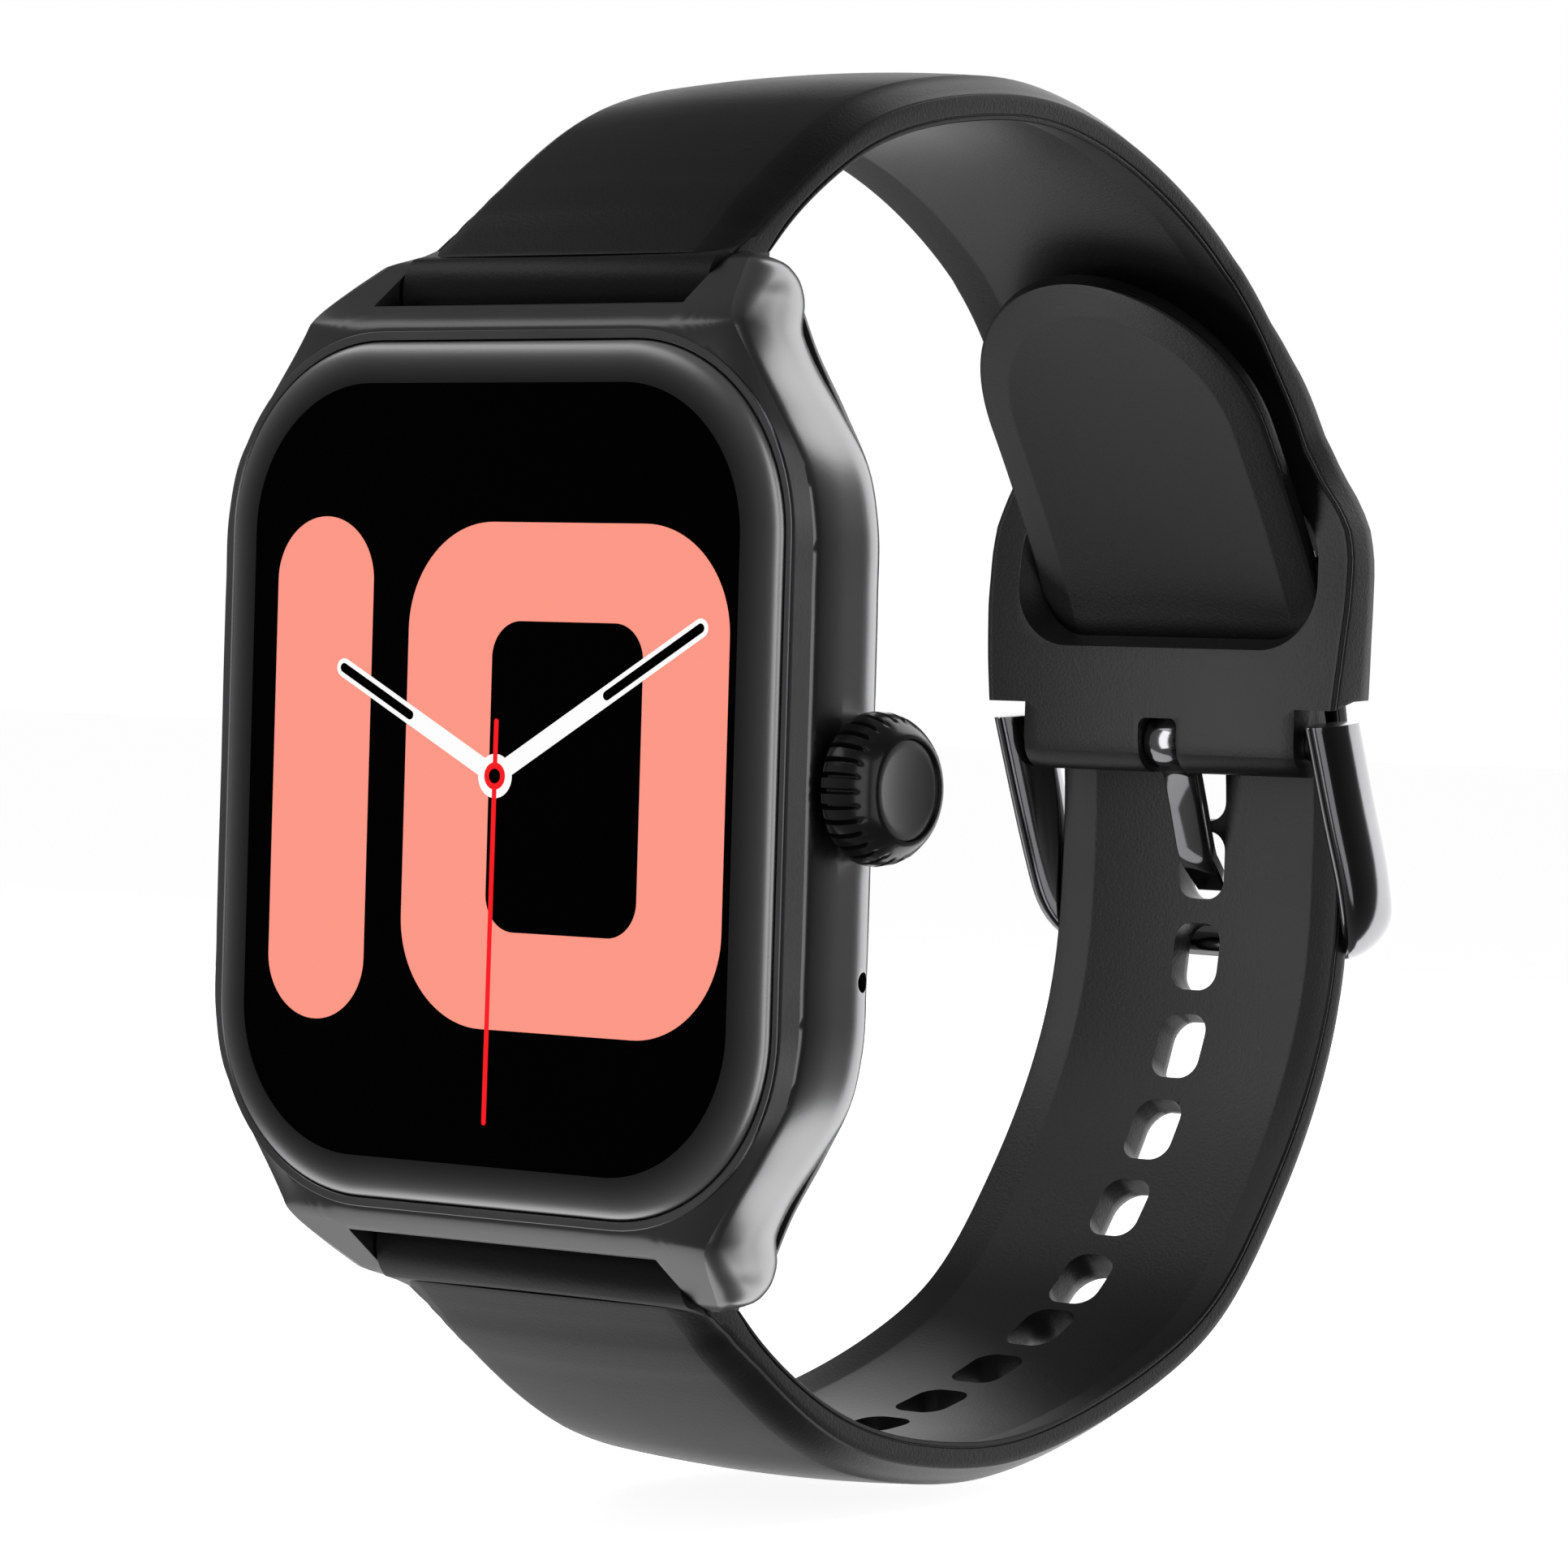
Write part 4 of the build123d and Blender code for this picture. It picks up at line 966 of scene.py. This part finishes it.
# ---------------------------------------------------------------- buckle
def buckle_loop():
    """The frame: two lens-shaped arms and the bar across the back, as one bent piece with cut ends."""
    path = [
        *((11.65, 53.6, 5.6), (11.65, 55.2, 1.6), (11.65, 56.85, -2.4), (11.62, 58.25, -5.6)),
        *((11.35, 59.2, -7.6), (10.4, 60.5, -9.1), (8.6, 61.35, -9.75), (5.0, 61.6, -9.9), (0.0, 61.65, -9.95)),
    ]
    full = path + [(-x, y, z) for x, y, z in reversed(path[:-1])]
    points, headings, _ = spline(full, 121)
    rings = []
    for p, h in zip(points, headings):
        deep = np.array([0, 0.93, 0.37])
        deep -= h * (deep @ h)
        deep /= np.linalg.norm(deep)
        thick = np.cross(h, deep)
        low = ease(abs(p[0]), 7.5, 11.6)
        a = 1.78 + 0.72 * low
        ring = []
        for i in range(40):
            t = 2 * math.pi * i / 40
            c, s = math.cos(t), math.sin(t)
            u = a * c
            v = 1.05 * s
            ring.append(tuple(p + deep * u + thick * v))
        rings.append(ring)
    loop = stack("buckle_loop", rings)
    cap = [(46.0, 2.95), (62.0, 4.45), (62.0, 12.0), (46.0, 12.0)]
    combine(loop, prism("cap", cap, 20), "DIFFERENCE")
    bore = lathe("bore", ((-12.05, 0), (-12.05, 0.95), (12.05, 0.95), (12.05, 0)), (BUCKLE_Y, BUCKLE_Z), 40)
    combine(loop, bore, "DIFFERENCE")
    for face in loop.data.polygons:
        cut = face.center.z > 3.0 * MM and face.normal.z > 0.9
        face.material_index = 1 if face.normal.z > 0.98 or cut else 0
    soften(loop, 0.12, 40, 2)
    return wear(loop, "buckle", [dark_chrome, cut_steel], ["buckle_frame"])


def buckle_tongue():
    """A flat strip that wraps the bar and reaches down into a hole."""
    rings = []
    line = []
    for i in range(15):
        a = math.radians(35 + 235 * i / 14)
        line.append((BUCKLE_Y + 1.38 * math.cos(a), BUCKLE_Z + 1.38 * math.sin(a)))
    line += [(55.45, 0.35), (56.2, -1.7), (57.05, -4.1), (57.35, -4.75)]
    line += [(57.9, -5.35), (58.6, -6.05), (59.15, -6.65)]
    path = np.array(line)
    heading = np.gradient(path, axis=0)
    heading /= np.linalg.norm(heading, axis=1)[:, None]
    for k, (p, h) in enumerate(zip(path, heading)):
        n = np.array([-h[1], h[0]])
        half = 1.28 - 0.3 * ease(k, 19, 22)
        thick = 0.36
        ring = []
        half_ring = ((-1, -0.7), (-0.88, -1), (0.88, -1), (1, -0.7))
        for u, v in half_ring + tuple((-a, -b) for a, b in half_ring):
            q = p + n * v * thick
            ring.append((u * half, q[0], q[1]))
        rings.append(ring)
    strip = stack("buckle_tongue", rings)
    return wear(strip, "tongue", dark_chrome, ["tongue"])


# ---------------------------------------------------------------- build
case_body()
bezel()
glass()
dial()
back_shell()
sensor()
crown()
upper_strap()
lower_strap()
buckle_loop()
buckle_tongue()


# ---------------------------------------------------------------- studio
def area_light(name, position, target, width, height, radiance):
    data = bpy.data.lights.new(name, "AREA")
    data.shape = "RECTANGLE"
    data.size = width
    data.size_y = height
    data.energy = radiance * math.pi * width * height
    lamp = bpy.data.objects.new(name, data)
    lamp.location = position
    aim = Vector(target) - Vector(position)
    lamp.rotation_mode = "QUATERNION"
    lamp.rotation_quaternion = aim.to_track_quat("-Z", "Y")
    lamp.visible_camera = False
    bpy.context.scene.collection.objects.link(lamp)
    return lamp


def softbox(name, azimuth, elevation, wide, tall, radiance):
    """A light round the watch, in degrees. The azimuth turns from the dial's side towards the crown's."""
    far = 0.6
    middle = Vector((0.0, 0.022, 0.0))
    a, e = math.radians(azimuth), math.radians(elevation)
    away = Vector((math.sin(a) * math.cos(e), -math.cos(a) * math.cos(e), math.sin(e)))
    width = 2 * far * math.tan(math.radians(wide / 2))
    height = 2 * far * math.tan(math.radians(tall / 2))
    return area_light(name, middle + away * far, middle, width, height, radiance)


def studio():
    """Soft lights round the watch, a dim room for reflections and a plain pale floor."""
    world = bpy.data.worlds.new("studio")
    bpy.context.scene.world = world
    world.use_nodes = True
    nodes, links = world.node_tree.nodes, world.node_tree.links
    back = nodes["Background"]
    back.inputs["Color"].default_value = (1, 1, 1, 1)
    back.inputs["Strength"].default_value = 1.0
    fill = nodes.new("ShaderNodeBackground")
    fill.inputs["Color"].default_value = (1, 1, 1, 1)
    ray = nodes.new("ShaderNodeTexCoord")
    split = nodes.new("ShaderNodeSeparateXYZ")
    spread = nodes.new("ShaderNodeMapRange")
    spread.inputs["From Min"].default_value = -0.6
    spread.inputs["From Max"].default_value = 0.9
    spread.inputs["To Min"].default_value = 0.14
    spread.inputs["To Max"].default_value = 0.02
    links.new(ray.outputs["Generated"], split.inputs["Vector"])
    links.new(split.outputs["X"], spread.inputs["Value"])
    links.new(spread.outputs["Result"], fill.inputs["Strength"])
    path = nodes.new("ShaderNodeLightPath")
    mix = nodes.new("ShaderNodeMixShader")
    links.new(path.outputs["Is Camera Ray"], mix.inputs["Fac"])
    links.new(fill.outputs["Background"], mix.inputs[1])
    links.new(back.outputs["Background"], mix.inputs[2])
    links.new(mix.outputs["Shader"], nodes["World Output"].inputs["Surface"])
    softbox("rear_wall", 178, 0, 56, 110, 1.5)
    softbox("rear_left", 217, 0, 24, 52, 1.6)
    softbox("low_left", 262, -48, 60, 50, 0.62)
    softbox("front_right", 40, 0, 22, 80, 0.7)
    softbox("left_high", 302, 43, 56, 14, 0.75)
    softbox("right", 76, 0, 30, 70, 0.5)
    area_light("inner_card", (-0.0185, 0.016, 0.004), (0.0125, 0.056, 0.0), 0.016, 0.05, 2.4)
    corners = ((-3000, -3000), (3000, -3000), (3000, 3000), (-3000, 3000))
    floor = solid("floor", [(x, y, cad_low.z / MM - 0.5) for x, y in corners], [(0, 1, 2, 3)])
    pale = material("floor_pale", (0.9, 0.9, 0.9), 0.9, patch=0.02, tint=0.005)
    shader = pale.node_tree.nodes["Principled BSDF"]
    shader.inputs["Emission Color"].default_value = (1, 1, 1, 1)
    shader.inputs["Emission Strength"].default_value = 0.9
    floor.data.materials.append(pale)
    floor.visible_glossy = False
    floor.visible_diffuse = False
    floor.visible_shadow = False


def camera():
    """A long lens in front of the crown side, level with the watch."""
    azimuth, pitch, roll = math.radians(38.114), math.radians(1.0393), math.radians(-1.6573)
    spot = Vector((233.009, -281.581, 6.434)) * MM
    level = math.cos(pitch)
    back = Vector((math.sin(azimuth) * level, -math.cos(azimuth) * level, math.sin(pitch)))
    right = (-back).cross(Vector((0, 0, 1))).normalized()
    up = right.cross(-back)
    image_right = right * math.cos(roll) - up * math.sin(roll)
    image_up = right * math.sin(roll) + up * math.cos(roll)
    data = bpy.data.cameras.new("camera")
    data.sensor_width = 36.0
    data.lens = 151.5
    data.clip_start = 0.01
    data.clip_end = 50
    cam = bpy.data.objects.new("camera", data)
    turn = Matrix((image_right, image_up, back)).transposed()
    cam.matrix_world = Matrix.Translation(spot) @ turn.to_4x4()
    bpy.context.scene.collection.objects.link(cam)
    bpy.context.scene.camera = cam


studio()
camera()
bpy.context.scene.view_settings.view_transform = "Standard"
